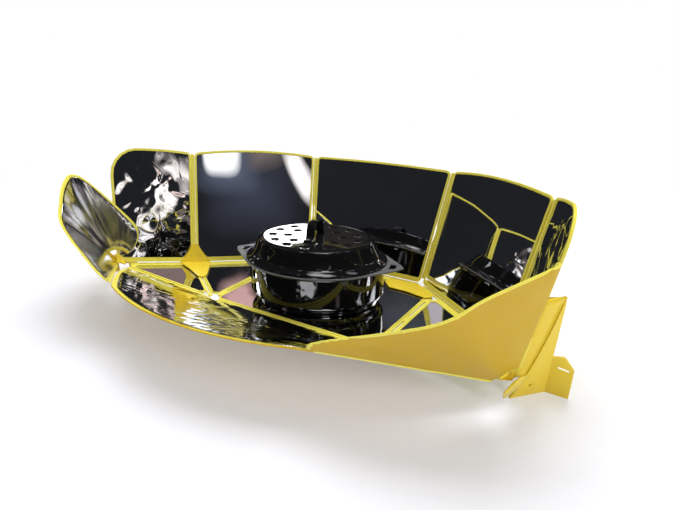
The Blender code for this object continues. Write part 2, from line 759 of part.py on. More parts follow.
def build_diamond(side, yellow):
    """The four-armed connector over the corner where two walls meet two floor panels."""
    p = corner_points(side)
    at = p["side_base"]
    side_n = plane_normal(p["back_base"], at, p["side_top"])
    end_n = plane_normal(at, p["apex"], p["end_top"])
    wing_n = plane_normal(at, p["floor_front"], p["apex"])
    floor_n = Vector((0, 0, 1))
    rise = (p["side_top"] - at).normalized()
    inner = (p["back_base"] - at).normalized()
    outer = (p["apex"] - at).normalized()
    front = (p["floor_front"] - at).normalized()
    lift = TRAY_THICKNESS / 2 + SEAT_GAP + CONNECTOR_THICKNESS / 2 + 0.0003
    w, h, d, tip = DIAMOND_HALF_WIDTH, DIAMOND_WALL_REACH, DIAMOND_FLOOR_REACH, DIAMOND_TIP_WIDTH / 2

    def on_face(along, s, across, t, normals):
        flat = (across - along * across.dot(along)).normalized()
        return lifted(at + along * s + flat * t, normals, lift)

    ring = [on_face(inner, w, front, 0, [side_n, floor_n]),
            on_face(rise, 0.62 * h, inner, 2.3 * tip, [side_n]), on_face(rise, h, inner, tip, [side_n]),
            on_face(rise, h + 0.001, inner, 0, [side_n, end_n]), on_face(rise, h, outer, tip, [end_n]),
            on_face(rise, 0.62 * h, outer, 2.1 * tip, [end_n]), on_face(outer, w, rise, 0, [end_n, wing_n]),
            on_face(front, 0.50 * d, outer, 2.7 * tip, [wing_n]),
            on_face(front, 0.88 * d, outer, 1.5 * tip, [wing_n]), on_face(front, d, outer, tip, [wing_n]),
            on_face(front, d + 0.001, outer, 0, [wing_n, floor_n]), on_face(front, d, inner, tip, [floor_n]),
            on_face(front, 0.88 * d, inner, 1.7 * tip, [floor_n]),
            on_face(front, 0.50 * d, inner, 3.1 * tip, [floor_n])]
    centre = lifted(at, [side_n, end_n, wing_n, floor_n], lift)
    name = side_name("diamond_connector", side)
    plate = fan_plate(name, centre, ring, CONNECTOR_THICKNESS, yellow)
    spots = [(on_face(rise, 0.42 * h, inner, 0.011, [side_n]), side_n),
             (on_face(rise, 0.42 * h, outer, 0.011, [end_n]), end_n),
             (on_face(front, 0.36 * d, inner, 0.013, [floor_n]), floor_n),
             (on_face(front, 0.36 * d, outer, 0.012, [wing_n]), wing_n)]
    for k, (spot, axis) in enumerate(spots):
        cut = round_cutter(name + "_hole_%d" % k, spot, axis, DIAMOND_HOLE / 2, 0.008)
        boolean(plate, cut)
    return plate


def build_back_corner(side, yellow):
    """The flat connector over the floor corner where the back wall meets a side wall."""
    p = corner_points(side)
    lift = floor_z + TRAY_THICKNESS / 2 + SEAT_GAP + CONNECTOR_THICKNESS / 2
    m = Matrix.Translation((0, 0, lift))
    edge = seam_half + 0.003
    x0, x1 = p["back_base"].x, p["notch"].x
    y1 = p["notch"].y
    s = side
    outline = [Vector((x0 - s * CORNER_REACH, -edge)), Vector((x0 - s * 0.002, -edge)),
               Vector((x1 + s * 0.002, y1 - edge - 0.002)), Vector((x1 + s * 0.004, y1 - CORNER_TOE)),
               Vector((x1 - s * 0.006, y1 - CORNER_SHOULDER)), Vector((x0 - s * 0.012, -CORNER_DEPTH)),
               Vector((x0 - s * (CORNER_REACH - CORNER_DEPTH + CORNER_SHOULDER), -CORNER_DEPTH)),
               Vector((x0 - s * CORNER_REACH, -CORNER_SHOULDER))]
    radii = [0.004, 0.003, 0.003, 0.003, 0.003, 0.010, 0.008, 0.006]
    curve_plate(side_name("back_corner_connector", side), [rounded(outline, radii, 3)],
                CONNECTOR_THICKNESS, m, 0, yellow)


def build_star(side, yellow):
    """The small star on the inside of the apex; its arms over the folding panels stand clearer."""
    p = corner_points(side)
    at = p["apex"]
    end_n = plane_normal(p["side_base"], at, p["end_top"])
    wing_n = plane_normal(p["side_base"], p["floor_front"], at)
    front_n = plane_normal(at, p["floor_front"], p["rim_corner"])
    seat = TRAY_THICKNESS / 2 + SEAT_GAP + CONNECTOR_THICKNESS / 2
    clear = seat + STAR_CLEARANCE
    seam = (p["side_base"] - at).normalized()
    edge = (p["end_top"] - at).normalized()
    lobe = (petal_curve(side)[0][-1] - at).normalized()
    rim = (p["rim_corner"] - at).normalized()
    low = (p["floor_front"] - at).normalized()
    arms = [(seam, [end_n, wing_n], clear), (edge, [end_n], clear), (lobe, [end_n, front_n], clear),
            (rim, [front_n], seat), (low, [wing_n, front_n], clear)]
    ring = []
    for k, (along, normals, lift) in enumerate(arms):
        follow, more, _ = arms[(k + 1) % len(arms)]
        for beside in (arms[k - 1][0], follow):
            across = along.cross(beside).normalized()
            way = Matrix.Rotation(STAR_TIP_TURN, 3, across) @ along
            ring.append(lifted(at + way * STAR_REACH, normals, lift))
        middle = (along + follow).normalized()
        ring.append(lifted(at + middle * STAR_WAIST, normals + more, clear))
    centre = lifted(at, [end_n, wing_n, front_n], clear)
    return fan_plate(side_name("apex_star", side), centre, ring, CONNECTOR_THICKNESS, yellow)


# Foot, right side: bottom of its front edge, its ridge at the ground and the end of its wing
FOOT_FRONT = (0.3864, -0.2785)
FOOT_RIDGE = (0.4226, -0.2373)
FOOT_WING = (0.4535, -0.2381)
FOOT_TOP = (0.4376, -0.2801, 0.1615)
FOOT_BOW = (0.4110, -0.2690, 0.0480)


def build_foot(side, yellow):
    """The bent leg outside the apex: a tall tapering web and a short wing meeting at a ridge."""
    front = Vector((side * FOOT_FRONT[0], FOOT_FRONT[1], FOOT_THICKNESS * 0.1))
    ridge = Vector((side * FOOT_RIDGE[0], FOOT_RIDGE[1], FOOT_THICKNESS * 0.1))
    wing = Vector((side * FOOT_WING[0], FOOT_WING[1], FOOT_THICKNESS * 0.1))
    top = Vector((side * FOOT_TOP[0], FOOT_TOP[1], FOOT_TOP[2]))
    bow = Vector((side * FOOT_BOW[0], FOOT_BOW[1], FOOT_BOW[2]))
    share = FOOT_WING_HEIGHT / top.z
    knee = ridge.lerp(top, share)
    rise = Vector((0, 0, 1))
    bm = bmesh.new()
    steps = 10
    front_edge = []
    for k in range(steps + 1):
        t = k / steps
        front_edge.append(top * (1 - t) ** 2 + bow * 2 * t * (1 - t) + front * t * t)
    ridge_edge = []
    for k in range(steps + 1):
        ridge_edge.append(top.lerp(ridge, k / steps))
    a = [bm.verts.new(v) for v in front_edge[1:]]
    b = [bm.verts.new(v) for v in ridge_edge[1:]]
    tip = bm.verts.new(top)
    bm.faces.new([tip, a[0], b[0]])
    for i in range(len(a) - 1):
        bm.faces.new([a[i], a[i + 1], b[i + 1], b[i]])
    # a lug reaches from the upper part of the ridge to the back of the end wall's tray
    p = corner_points(side)
    end_n = plane_normal(p["side_base"], p["apex"], p["end_top"])
    edge = (p["end_top"] - p["apex"]).normalized()
    inward = (p["side_base"] - p["apex"])
    inward = (inward - edge * inward.dot(edge)).normalized()
    back = p["apex"] + inward * FOOT_LUG_INSET - end_n * (TRAY_THICKNESS / 2 + 3 * SEAT_GAP)
    last = max(i for i, v in enumerate(b) if v.co.z > FOOT_WING_HEIGHT * 1.45)
    column = [tip] + b[:last + 1]
    seats = []
    for i in range(len(column)):
        share_down = i / (len(column) - 1)
        reach = FOOT_LUG_HIGH + (FOOT_LUG_LOW - FOOT_LUG_HIGH) * share_down
        seats.append(bm.verts.new(back + edge * reach))
    for i in range(len(column) - 1):
        bm.faces.new([column[i], column[i + 1], seats[i + 1], seats[i]])
    # the wing hangs from the lower part of the ridge
    start = max(i for i, v in enumerate(b) if v.co.z >= FOOT_WING_HEIGHT * 0.92)
    out = wing - ridge
    outer = []
    count = len(b) - start
    for i in range(start, len(b)):
        t = (i - start) / (count - 1)
        reach = 1.0 if t > 0.30 else 0.55 + 0.45 * math.sin(t / 0.30 * math.pi / 2)
        lean = b[i].co - ridge
        outer.append(bm.verts.new(b[i].co + out * reach - Vector((lean.x, lean.y, 0)) * 0.35))
    for i in range(count - 1):
        bm.faces.new([b[start + i], b[start + i + 1], outer[i + 1], outer[i]])
    bmesh.ops.recalc_face_normals(bm, faces=bm.faces)
    mesh = bpy.data.meshes.new(side_name("foot", side))
    bm.to_mesh(mesh)
    bm.free()
    mesh.materials.append(yellow)
    foot = bpy.data.objects.new(side_name("foot", side), mesh)
    parts.objects.link(foot)
    wall = foot.modifiers.new("thickness", "SOLIDIFY")
    wall.thickness = FOOT_THICKNESS
    wall.offset = 0
    # the slot through the wing near its top
    middle = knee + out * 0.5 - rise * 0.012
    bpy.ops.mesh.primitive_cube_add(size=1)
    slot = bpy.context.object
    slot.name = foot.name + "_slot"
    slot.scale = (FOOT_SLOT[0], 0.03, FOOT_SLOT[1])
    slot.location = middle
    slot.rotation_euler = (0, side * math.radians(14), math.atan2(out.y, out.x))
    # the snap hole low on the web
    centre = front.lerp(ridge, 0.46) + rise * 0.020
    across = (ridge - front).cross(top - front).normalized()
    bpy.ops.mesh.primitive_cylinder_add(vertices=12, radius=FOOT_HOLE / 2, depth=0.02)
    hole = bpy.context.object
    hole.name = foot.name + "_hole"
    hole.rotation_euler = across.to_track_quat("Z", "Y").to_euler()
    hole.location = centre
    bpy.ops.mesh.primitive_cube_add(size=0.9)
    ground = bpy.context.object
    ground.name = foot.name + "_ground"
    ground.location = (0, 0, -0.45)
    for cut in (slot, hole, ground):
        for group in list(cut.users_collection):
            group.objects.unlink(cut)
        cutters.objects.link(cut)
        boolean(foot, cut)
    return foot


# The pot
def turned(name, profile, mat, place, steps=48):
    """An oval turned shape from a half profile of (radius, height) points."""
    bm = bmesh.new()
    verts = [bm.verts.new((r, 0, z)) for r, z in profile]
    for a, b in zip(verts, verts[1:]):
        bm.edges.new((a, b))
    mesh = bpy.data.meshes.new(name)
    bm.to_mesh(mesh)
    bm.free()
    mesh.materials.append(mat)
    obj = bpy.data.objects.new(name, mesh)
    parts.objects.link(obj)
    obj.location = place
    obj.rotation_euler = (0, 0, math.radians(POT_TURN))
    obj.scale = (1, POT_OVAL, 1)
    screw = obj.modifiers.new("turn", "SCREW")
    screw.axis = "Z"
    screw.steps = steps
    screw.render_steps = steps
    screw.use_merge_vertices = True
    screw.merge_threshold = 0.00005
    screw.use_smooth_shade = True
    return obj


def oval_loop(radius, count=48):
    return [Vector((p.x, p.y * POT_OVAL)) for p in disc(radius, Vector((0, 0)), count)]


def flange_loop(count=72):
    """The pot's flange: an oval drawn out into a pointed grip at each end."""
    points = []
    reach = math.acos(FLANGE_RADIUS / FLANGE_TIP)
    for k in range(count):
        a = 2 * math.pi * k / count
        near = min(abs(math.remainder(a, 2 * math.pi)), abs(math.remainder(a - math.pi, 2 * math.pi)))
        r = FLANGE_RADIUS
        if near < reach:
            r = FLANGE_RADIUS / math.cos(reach - near)
            r = min(r, FLANGE_TIP - 0.004 * (1 - near / reach) ** 6)
        points.append(Vector((math.cos(a), math.sin(a) * POT_OVAL)) * r)
    return points


def build_pot(enamel):
    seat = floor_z + TRAY_THICKNESS / 2 - RECESS_DEPTH + SEAT_GAP + MIRROR_THICKNESS + SEAT_GAP
    place = Vector((POT_CENTRE[0], POT_CENTRE[1], seat))
    w = POT_WALL
    h = POT_HEIGHT - FLANGE_THICKNESS - SEAT_GAP
    lip = POT_RADIUS + POT_LIP
    profile = [(lip, h), (lip, h - 0.0018), (POT_RADIUS, h - 0.0044),
               (POT_RADIUS, 0.021), (POT_RADIUS - 0.003, 0.016), (POT_BASE_RADIUS + 0.003, 0.013),
               (POT_BASE_RADIUS, 0.009), (POT_BASE_RADIUS - 0.002, 0.003), (POT_BASE_RADIUS - 0.006, 0.0),
               (POT_BASE_RADIUS - 0.020, 0.0), (POT_BASE_RADIUS - 0.024, 0.0015), (0.0, 0.0015),
               (0.0, 0.0015 + w), (POT_BASE_RADIUS - 0.024, 0.0015 + w),
               (POT_BASE_RADIUS - 0.012, 0.0035), (POT_BASE_RADIUS - 0.004, 0.0055),
               (POT_BASE_RADIUS - w, 0.012), (POT_RADIUS - 0.003 - w, 0.0185), (POT_RADIUS - w, 0.023),
               (POT_RADIUS - w, h), (lip, h)]
    turned("pot_body", profile, enamel, place)
    return place


def build_flange(place, enamel):
    """The flange welded on the pot's lip, with a finger hole in each pointed end."""
    turn = Matrix.Translation(place) @ Matrix.Rotation(math.radians(POT_TURN), 4, "Z")
    loops = [flange_loop(), oval_loop(POT_RADIUS - POT_WALL)]
    for s in (-1, 1):
        grip = [Vector((s * (FLANGE_RADIUS + 0.0035), -GRIP_HOLE[1] / 2)),
                Vector((s * (FLANGE_RADIUS + 0.0035 + GRIP_HOLE[0]), -0.006)),
                Vector((s * (FLANGE_RADIUS + 0.0035 + GRIP_HOLE[0]), 0.006)),
                Vector((s * (FLANGE_RADIUS + 0.0035), GRIP_HOLE[1] / 2))]
        loops.append(rounded(grip, [0.003, 0.004, 0.004, 0.003], 3))
    level = POT_HEIGHT - FLANGE_THICKNESS / 2
    curve_plate("pot_flange", loops, FLANGE_THICKNESS, turn, level, enamel)


def build_lid(place, enamel):
    top = place + Vector((0, 0, POT_HEIGHT + SEAT_GAP))
    w = LID_WALL
    h = LID_HEIGHT
    dip = DIMPLE_DEPTH
    profile = [(0.0, h), (LID_TOP_RADIUS * 0.93, h), (LID_TOP_RADIUS, h - 0.0018),
               (LID_TOP_RADIUS + 0.0025, h - 0.006), (LID_STEP_RADIUS - 0.002, 0.013),
               (LID_STEP_RADIUS + 0.002, 0.009), (LID_RADIUS - 0.002, 0.0045), (LID_RADIUS, 0.002),
               (LID_RADIUS, 0.0), (LID_PLUG_RADIUS, 0.0), (LID_PLUG_RADIUS - 0.0008, -LID_PLUG_DEPTH),
               (LID_PLUG_RADIUS - 0.0028, -LID_PLUG_DEPTH), (LID_PLUG_RADIUS - 0.004, 0.006),
               (LID_STEP_RADIUS - 0.004 - w, 0.012), (LID_TOP_RADIUS + 0.0025 - w, h - 0.0062 - w),
               (LID_TOP_RADIUS * 0.92, h - w - dip), (0.0, h - w - dip)]
    lid = turned("lid", profile, enamel, top)
    return top, lid


def build_lid_grip(top, enamel):
    """The strap grip riveted across the middle of the lid."""
    half, rise = GRIP_SPAN / 2, GRIP_HEIGHT
    base = LID_HEIGHT + SEAT_GAP + GRIP_THICKNESS / 2
    path = [(-half - 0.010, 0.0), (-half, 0.0), (-half + 0.004, 0.004), (-half + 0.006, rise * 0.55),
            (-half + 0.011, rise * 0.88), (-half + 0.020, rise)]
    path += [(-x, z) for x, z in reversed(path)]
    bm = bmesh.new()
    rows = []
    for x, z in path:
        rows.append([bm.verts.new((x, y, z)) for y in (-GRIP_WIDTH / 2, -GRIP_WIDTH / 6, GRIP_WIDTH / 6,
                                                      GRIP_WIDTH / 2)])
    for low, high in zip(rows, rows[1:]):
        for i in range(3):
            bm.faces.new([low[i], high[i], high[i + 1], low[i + 1]])
    mesh = bpy.data.meshes.new("lid_grip")
    bm.to_mesh(mesh)
    bm.free()
    mesh.materials.append(enamel)
    grip = bpy.data.objects.new("lid_grip", mesh)
    parts.objects.link(grip)
    grip.location = top + Vector((0, 0, base))
    grip.rotation_euler = (0, 0, math.radians(POT_TURN + 90))
    wall = grip.modifiers.new("thickness", "SOLIDIFY")
    wall.thickness = GRIP_THICKNESS
    wall.offset = 0


def centre_footprint():
    """Moves the whole part so that its footprint is centred on the origin."""
    bpy.context.view_layer.update()
    graph = bpy.context.evaluated_depsgraph_get()
    low, high = 1e9, -1e9
    for obj in parts.objects:
        shape = obj.evaluated_get(graph)
        for v in shape.to_mesh().vertices:
            y = (obj.matrix_world @ v.co).y
            low, high = min(low, y), max(high, y)
        shape.to_mesh_clear()
    shift = -(low + high) / 2
    for obj in list(parts.objects) + list(cutters.objects):
        obj.location.y += shift
    bpy.context.view_layer.update()


def build_all():
    yellow = material("yellow_polypropylene", YELLOW, 0.38)
    mirror = material("mirror_sheet", MIRROR, 0.04, 1.0)
    enamel = material("black_enamel", ENAMEL, 0.12)
    mats = (yellow, mirror)
    build_back(mats)
    build_floor(mats)
    build_front(yellow, mirror)
    build_seams(yellow)
    for side in (-1, 1):
        build_side(side, mats)
        build_end(side, mats)
        build_petal(side, yellow, mirror)
        build_diamond(side, yellow)
        build_back_corner(side, yellow)
        build_star(side, yellow)
        build_foot(side, yellow)
    place = build_pot(enamel)
    build_flange(place, enamel)
    top, lid = build_lid(place, enamel)
    build_lid_grip(top, enamel)
    centre_footprint()


build_all()
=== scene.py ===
# %% [markdown]
# A panel solar oven: ten flat yellow trays and three curved ones carry mirror film and stand as a
# bowl round a black enamel roaster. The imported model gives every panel's place, so this lesson
# only dresses it: soft edges on the plastic, crinkled film, a dimpled lid, a studio and a camera.

# %% Load the frame
import bpy
import bmesh
import json
import math
from mathutils import Matrix, Vector


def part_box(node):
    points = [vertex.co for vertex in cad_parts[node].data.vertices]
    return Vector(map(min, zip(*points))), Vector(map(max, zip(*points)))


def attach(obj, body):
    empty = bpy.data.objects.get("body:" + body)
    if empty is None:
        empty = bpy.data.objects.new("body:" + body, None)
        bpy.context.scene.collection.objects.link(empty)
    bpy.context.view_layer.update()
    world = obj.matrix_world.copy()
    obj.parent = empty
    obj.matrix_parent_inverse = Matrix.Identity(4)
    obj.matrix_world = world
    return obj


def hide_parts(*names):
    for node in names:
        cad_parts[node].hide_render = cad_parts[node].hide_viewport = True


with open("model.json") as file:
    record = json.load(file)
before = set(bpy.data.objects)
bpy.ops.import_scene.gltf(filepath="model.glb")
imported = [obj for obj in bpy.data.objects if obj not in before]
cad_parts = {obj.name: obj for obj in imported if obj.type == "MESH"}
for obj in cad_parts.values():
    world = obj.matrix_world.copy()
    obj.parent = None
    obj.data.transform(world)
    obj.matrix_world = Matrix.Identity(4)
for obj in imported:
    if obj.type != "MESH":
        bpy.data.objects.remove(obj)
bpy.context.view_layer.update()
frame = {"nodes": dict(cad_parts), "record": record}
nodes = frame["nodes"]
body_of = {}
for body, members in frame["record"]["behaviour"]["bodies"].items():
    for member in members:
        body_of[member] = body

# %% [markdown]
# The camera stands to the right of the open front and looks down into the bowl. Its place and
# turn were solved from the corners of the walls, so they are written as one matrix.

# %% Camera
eye = Vector((0.51358, -0.67963, 0.42354))
right = Vector((0.84418, 0.53604, -0.00378)).normalized()
forward = Vector((-0.50356, 0.79057, -0.34846)).normalized()
upward = right.cross(forward).normalized()
camera_data = bpy.data.cameras.new("photographer")
camera_data.lens = 27.7545
camera_data.sensor_width = 36.0
camera_data.clip_end = 60.0
camera = bpy.data.objects.new("photographer", camera_data)
turned = Matrix((right, upward, -forward)).transposed().to_4x4()
camera.matrix_world = Matrix.Translation(eye) @ turned
bpy.context.scene.collection.objects.link(camera)
bpy.context.scene.camera = camera

# %% [markdown]
# Plastic, film and enamel share a few small effects. Each effect is a node group that puts out
# masks and heights, and the shader itself stays in the material that uses it.

# %% Helpers for materials
def link(tree, a, b):
    tree.links.new(a, b)


def add(tree, kind, at, **values):
    node = tree.nodes.new(kind)
    node.location = at
    for name, value in values.items():
        setattr(node, name, value)
    return node


def new_group(name, inputs, outputs):
    """An empty node group with float inputs and the outputs given as (name, socket kind)."""
    tree = bpy.data.node_groups.new(name, "ShaderNodeTree")
    for label, value in inputs:
        socket = tree.interface.new_socket(label, in_out="INPUT", socket_type="NodeSocketFloat")
        socket.default_value = value
    for label, kind in outputs:
        tree.interface.new_socket(label, in_out="OUTPUT", socket_type=kind)
    start = add(tree, "NodeGroupInput", (-900, 0))
    end = add(tree, "NodeGroupOutput", (700, 0))
    return tree, start, end


def feed(tree, slot, value):
    """Gives an input its value: a socket, a plain number or a colour."""
    if isinstance(value, bpy.types.NodeSocket):
        link(tree, value, slot)
    elif isinstance(value, tuple):
        slot.default_value = (*value, 1.0)
    else:
        slot.default_value = value


def maths(tree, operation, a, b=None, at=(0, 0), clamp=False, c=None):
    """A Math node; c is what a MULTIPLY_ADD adds."""
    node = add(tree, "ShaderNodeMath", at, operation=operation, use_clamp=clamp)
    for slot, value in zip(node.inputs, (a, b, c)):
        if value is not None:
            feed(tree, slot, value)
    return node.outputs[0]


def vector_maths(tree, operation, a, b=None, at=(0, 0)):
    """A Vector Math node; b is a plain vector."""
    node = add(tree, "ShaderNodeVectorMath", at, operation=operation)
    link(tree, a, node.inputs[0])
    if b is not None:
        node.inputs[1].default_value = b
    return node.outputs["Value" if operation == "LENGTH" else "Vector"]


def axes_of(tree, vector, at=(0, 0)):
    node = add(tree, "ShaderNodeSeparateXYZ", at)
    link(tree, vector, node.inputs[0])
    return node.outputs


def object_place(tree, at):
    return add(tree, "ShaderNodeTexCoord", at).outputs["Object"]


def stepped(tree, value, low, high, to_low=0.0, to_high=1.0, at=(0, 0)):
    """A smooth Map Range from low..high to the two values."""
    node = add(tree, "ShaderNodeMapRange", at, interpolation_type="SMOOTHSTEP")
    link(tree, value, node.inputs["Value"])
    node.inputs["From Min"].default_value = low
    node.inputs["From Max"].default_value = high
    node.inputs["To Min"].default_value = to_low
    node.inputs["To Max"].default_value = to_high
    return node.outputs["Result"]


def blended(tree, factor, a, b, at=(0, 0)):
    """A colour Mix; a and b are colours or sockets."""
    node = add(tree, "ShaderNodeMix", at, data_type="RGBA")
    link(tree, factor, node.inputs["Factor"])
    feed(tree, node.inputs[6], a)
    feed(tree, node.inputs[7], b)
    return node.outputs[2]


def noise_at(tree, place, scale, detail=2.0, rough=0.5, at=(0, 0), twist=0.0):
    """A Noise Texture's value; scale is a number or a socket."""
    node = add(tree, "ShaderNodeTexNoise", at)
    link(tree, place, node.inputs["Vector"])
    feed(tree, node.inputs["Scale"], scale)
    node.inputs["Detail"].default_value = detail
    node.inputs["Roughness"].default_value = rough
    node.inputs["Distortion"].default_value = twist
    return node.outputs["Fac"]


def backdrop_rays(tree, at):
    """1 where the camera, a mirror or glass sees the surface, 0 where it only gives light."""
    path = add(tree, "ShaderNodeLightPath", at)
    seen = maths(tree, "MAXIMUM", path.outputs["Is Camera Ray"], path.outputs["Is Glossy Ray"],
                 (at[0] + 200, at[1]))
    return maths(tree, "MAXIMUM", seen, path.outputs["Is Transmission Ray"],
                 (at[0] + 400, at[1]))


print("helpers ready")


# %% [markdown]
# Moulded plastic has a fine spark-eroded grain, slow flow marks and a little dust. The group
# gives a slow mask for colour, a fine height for the bump and a mask for the sheen.

# %% Group: moulded grain
def make_grain():
    tree, start, end = new_group("moulded_grain", [("Grain", 900.0)],
                                 [("Flow", "NodeSocketFloat"), ("Height", "NodeSocketFloat"),
                                  ("Dull", "NodeSocketFloat")])
    place = object_place(tree, (-1100, 0))
    slow = noise_at(tree, place, 6.0, 3.0, 0.55, (-600, 200), 0.4)
    link(tree, stepped(tree, slow, 0.3, 0.7, at=(-300, 200)), end.inputs["Flow"])
    fine = noise_at(tree, place, start.outputs["Grain"], at=(-600, -100))
    patchy = noise_at(tree, place, 45.0, at=(-600, -400))
    height = maths(tree, "MULTIPLY_ADD", patchy, 0.35, (-200, -200), c=fine)
    link(tree, height, end.inputs["Height"])
    link(tree, stepped(tree, patchy, 0.35, 0.75, at=(-300, -500)), end.inputs["Dull"])
    return tree


moulded_grain = make_grain()
print("group", moulded_grain.name)

# %% [markdown]
# The mirror film is stretched over flat trays, where it is nearly true, and lies in folds over
# the curved ones. The group makes long soft folds, small sharp crinkles and a faint haze.

# %% Group: film folds
SHEET_TIP = (0.386, -0.086, 0.050)


def make_folds():
    tree, start, end = new_group("film_folds",
                                 [("Folds", 9.0), ("Rays", 0.0), ("Streaks", 15.0),
                                  ("Crinkles", 60.0), ("Sharp", 0.5)],
                                 [("Height", "NodeSocketFloat"), ("Haze", "NodeSocketFloat")])
    place = object_place(tree, (-1500, 0))
    folds = noise_at(tree, place, start.outputs["Folds"], 1.0, 0.5, (-700, 450), 0.6)
    # rays that fan out from the outer corner, the same on the left and on the right
    halves = axes_of(tree, vector_maths(tree, "ABSOLUTE", place, at=(-1300, 250)), (-1300, 100))
    level = axes_of(tree, place, (-1300, -50))
    joined = add(tree, "ShaderNodeCombineXYZ", (-1150, 100))
    link(tree, halves["X"], joined.inputs["X"])
    link(tree, level["Y"], joined.inputs["Y"])
    link(tree, level["Z"], joined.inputs["Z"])
    from_tip = vector_maths(tree, "SUBTRACT", joined.outputs[0], SHEET_TIP, (-1000, 250))
    bearing = vector_maths(tree, "NORMALIZE", from_tip, at=(-850, 250))
    fan = noise_at(tree, bearing, start.outputs["Streaks"], 1.5, at=(-700, 200))
    reach = vector_maths(tree, "LENGTH", from_tip, at=(-850, 60))
    spread = maths(tree, "MULTIPLY", fan, start.outputs["Rays"], (-450, 250))
    spread = maths(tree, "MULTIPLY", spread, maths(tree, "MULTIPLY", reach, 6.0), (-300, 250))
    # crinkles in patches
    cells = add(tree, "ShaderNodeTexVoronoi", (-700, -100), feature="SMOOTH_F1")
    link(tree, place, cells.inputs["Vector"])
    link(tree, start.outputs["Crinkles"], cells.inputs["Scale"])
    cells.inputs["Smoothness"].default_value = 0.6
    where = noise_at(tree, place, 14.0, 2.0, 0.5, (-700, -450), 0.5)
    gate = stepped(tree, where, 0.40, 0.62, at=(-450, -450))
    crinkle = maths(tree, "MULTIPLY", cells.outputs["Distance"], gate, (-250, -150))
    crinkle = maths(tree, "MULTIPLY", crinkle, start.outputs["Sharp"], (-50, -150))
    height = maths(tree, "ADD", folds, crinkle, (200, 0))
    link(tree, maths(tree, "ADD", height, spread, (400, 100)), end.inputs["Height"])
    haze = noise_at(tree, place, 3.0, 4.0, 0.6, (-250, -700))
    link(tree, stepped(tree, haze, 0.45, 0.8, at=(0, -700)), end.inputs["Haze"])
    return tree


film_folds = make_folds()
print("group", film_folds.name)

# %% [markdown]
# Enamel is glass on steel: nearly smooth, with a slight orange peel, pale specks and a little dust.

# %% Group: enamel skin
def make_enamel():
    tree, start, end = new_group("enamel_skin", [("Orange", 70.0)],
                                 [("Height", "NodeSocketFloat"), ("Speck", "NodeSocketFloat"),
                                  ("Dust", "NodeSocketFloat")])
    place = object_place(tree, (-1100, 0))
    link(tree, noise_at(tree, place, start.outputs["Orange"], at=(-600, 100)), end.inputs["Height"])
    cells = add(tree, "ShaderNodeTexVoronoi", (-600, -200))
    link(tree, place, cells.inputs["Vector"])
    cells.inputs["Scale"].default_value = 420.0
    link(tree, stepped(tree, cells.outputs["Distance"], 0.10, 0.22, 1.0, 0.0, (-300, -200)),
         end.inputs["Speck"])
    film = noise_at(tree, place, 11.0, 4.0, 0.6, (-600, -500))
    link(tree, stepped(tree, film, 0.5, 0.8, at=(-300, -500)), end.inputs["Dust"])
    return tree


enamel_skin = make_enamel()
print("group", enamel_skin.name)


# %% Helpers for a material
def started(name):
    """A new material, its shader and its tree."""
    material = bpy.data.materials.new(name)
    material.use_nodes = True
    tree = material.node_tree
    return material, tree, tree.nodes["Principled BSDF"]


def placed(tree, group, at, **values):
    """A node group in a material, with its inputs set."""
    node = add(tree, "ShaderNodeGroup", at, node_tree=group)
    for label, value in values.items():
        node.inputs[label].default_value = value
    return node


def bumped(tree, shader, height, strength, distance):
    """Drives the shader's normal with a height; distance is in metres."""
    bump = add(tree, "ShaderNodeBump", (-250, -400))
    bump.inputs["Strength"].default_value = strength
    bump.inputs["Distance"].default_value = distance
    link(tree, height, bump.inputs["Height"])
    link(tree, bump.outputs["Normal"], shader.inputs["Normal"])


# %% [markdown]
# The yellow polypropylene is one plastic, made here in two copies. The outsides of the curved
# sheets lie in shade, and their darker copy has that shade painted into its colour. Trays, rims,
# straps and the sheets' insides take the lit copy. Connectors and feet lie between the two.

# %% Materials: yellow plastic
def yellow_plastic(name, deep, bright, rough):
    material, tree, shader = started(name)
    group = placed(tree, moulded_grain, (-800, 0), Grain=900.0)
    colour = blended(tree, group.outputs["Flow"], deep, bright, (-300, 200))
    link(tree, colour, shader.inputs["Base Color"])
    sheen = stepped(tree, group.outputs["Dull"], 0.0, 1.0, rough, rough + 0.12, (-300, -100))
    link(tree, sheen, shader.inputs["Roughness"])
    shader.inputs["IOR"].default_value = 1.49
    shader.inputs["Subsurface Weight"].default_value = 0.08
    shader.inputs["Subsurface Radius"].default_value = (0.006, 0.004, 0.001)
    shader.inputs["Subsurface Scale"].default_value = 0.5
    bumped(tree, shader, group.outputs["Height"], 0.12, 0.0002)
    return material


# the darker copy is painted shade for the shaded outsides of the curved sheets; the brighter one is
# the lit copy
shaded_yellow_plastic = yellow_plastic("yellow_plastic_painted_shade", (0.56, 0.355, 0.012), (0.61, 0.40, 0.018), 0.55)
lit_yellow_plastic = yellow_plastic("yellow_plastic_lit_copy", (0.82, 0.72, 0.085), (0.87, 0.78, 0.12), 0.34)
golden = yellow_plastic("golden_plastic", (0.80, 0.58, 0.03), (0.84, 0.63, 0.04), 0.36)
print("plastics", shaded_yellow_plastic.name, lit_yellow_plastic.name, golden.name)

# %% Materials: mirror film
FILM_TINT = (0.88, 0.89, 0.91)
DUSTY_SHARE = 0.92


def mirror_film(name, distance, rough=0.02, **folds):
    """A metal film; folds holds the values of the film_folds group."""
    material, tree, shader = started(name)
    group = placed(tree, film_folds, (-800, 0), **folds)
    shader.inputs["Metallic"].default_value = 1.0
    dusty = tuple(c * DUSTY_SHARE for c in FILM_TINT)
    link(tree, blended(tree, group.outputs["Haze"], FILM_TINT, dusty, (-300, 200)),
         shader.inputs["Base Color"])
    link(tree, stepped(tree, group.outputs["Haze"], 0.0, 1.0, rough, rough + 0.04, (-300, -100)),
         shader.inputs["Roughness"])
    bumped(tree, shader, group.outputs["Height"], 1.0, distance)
    return material


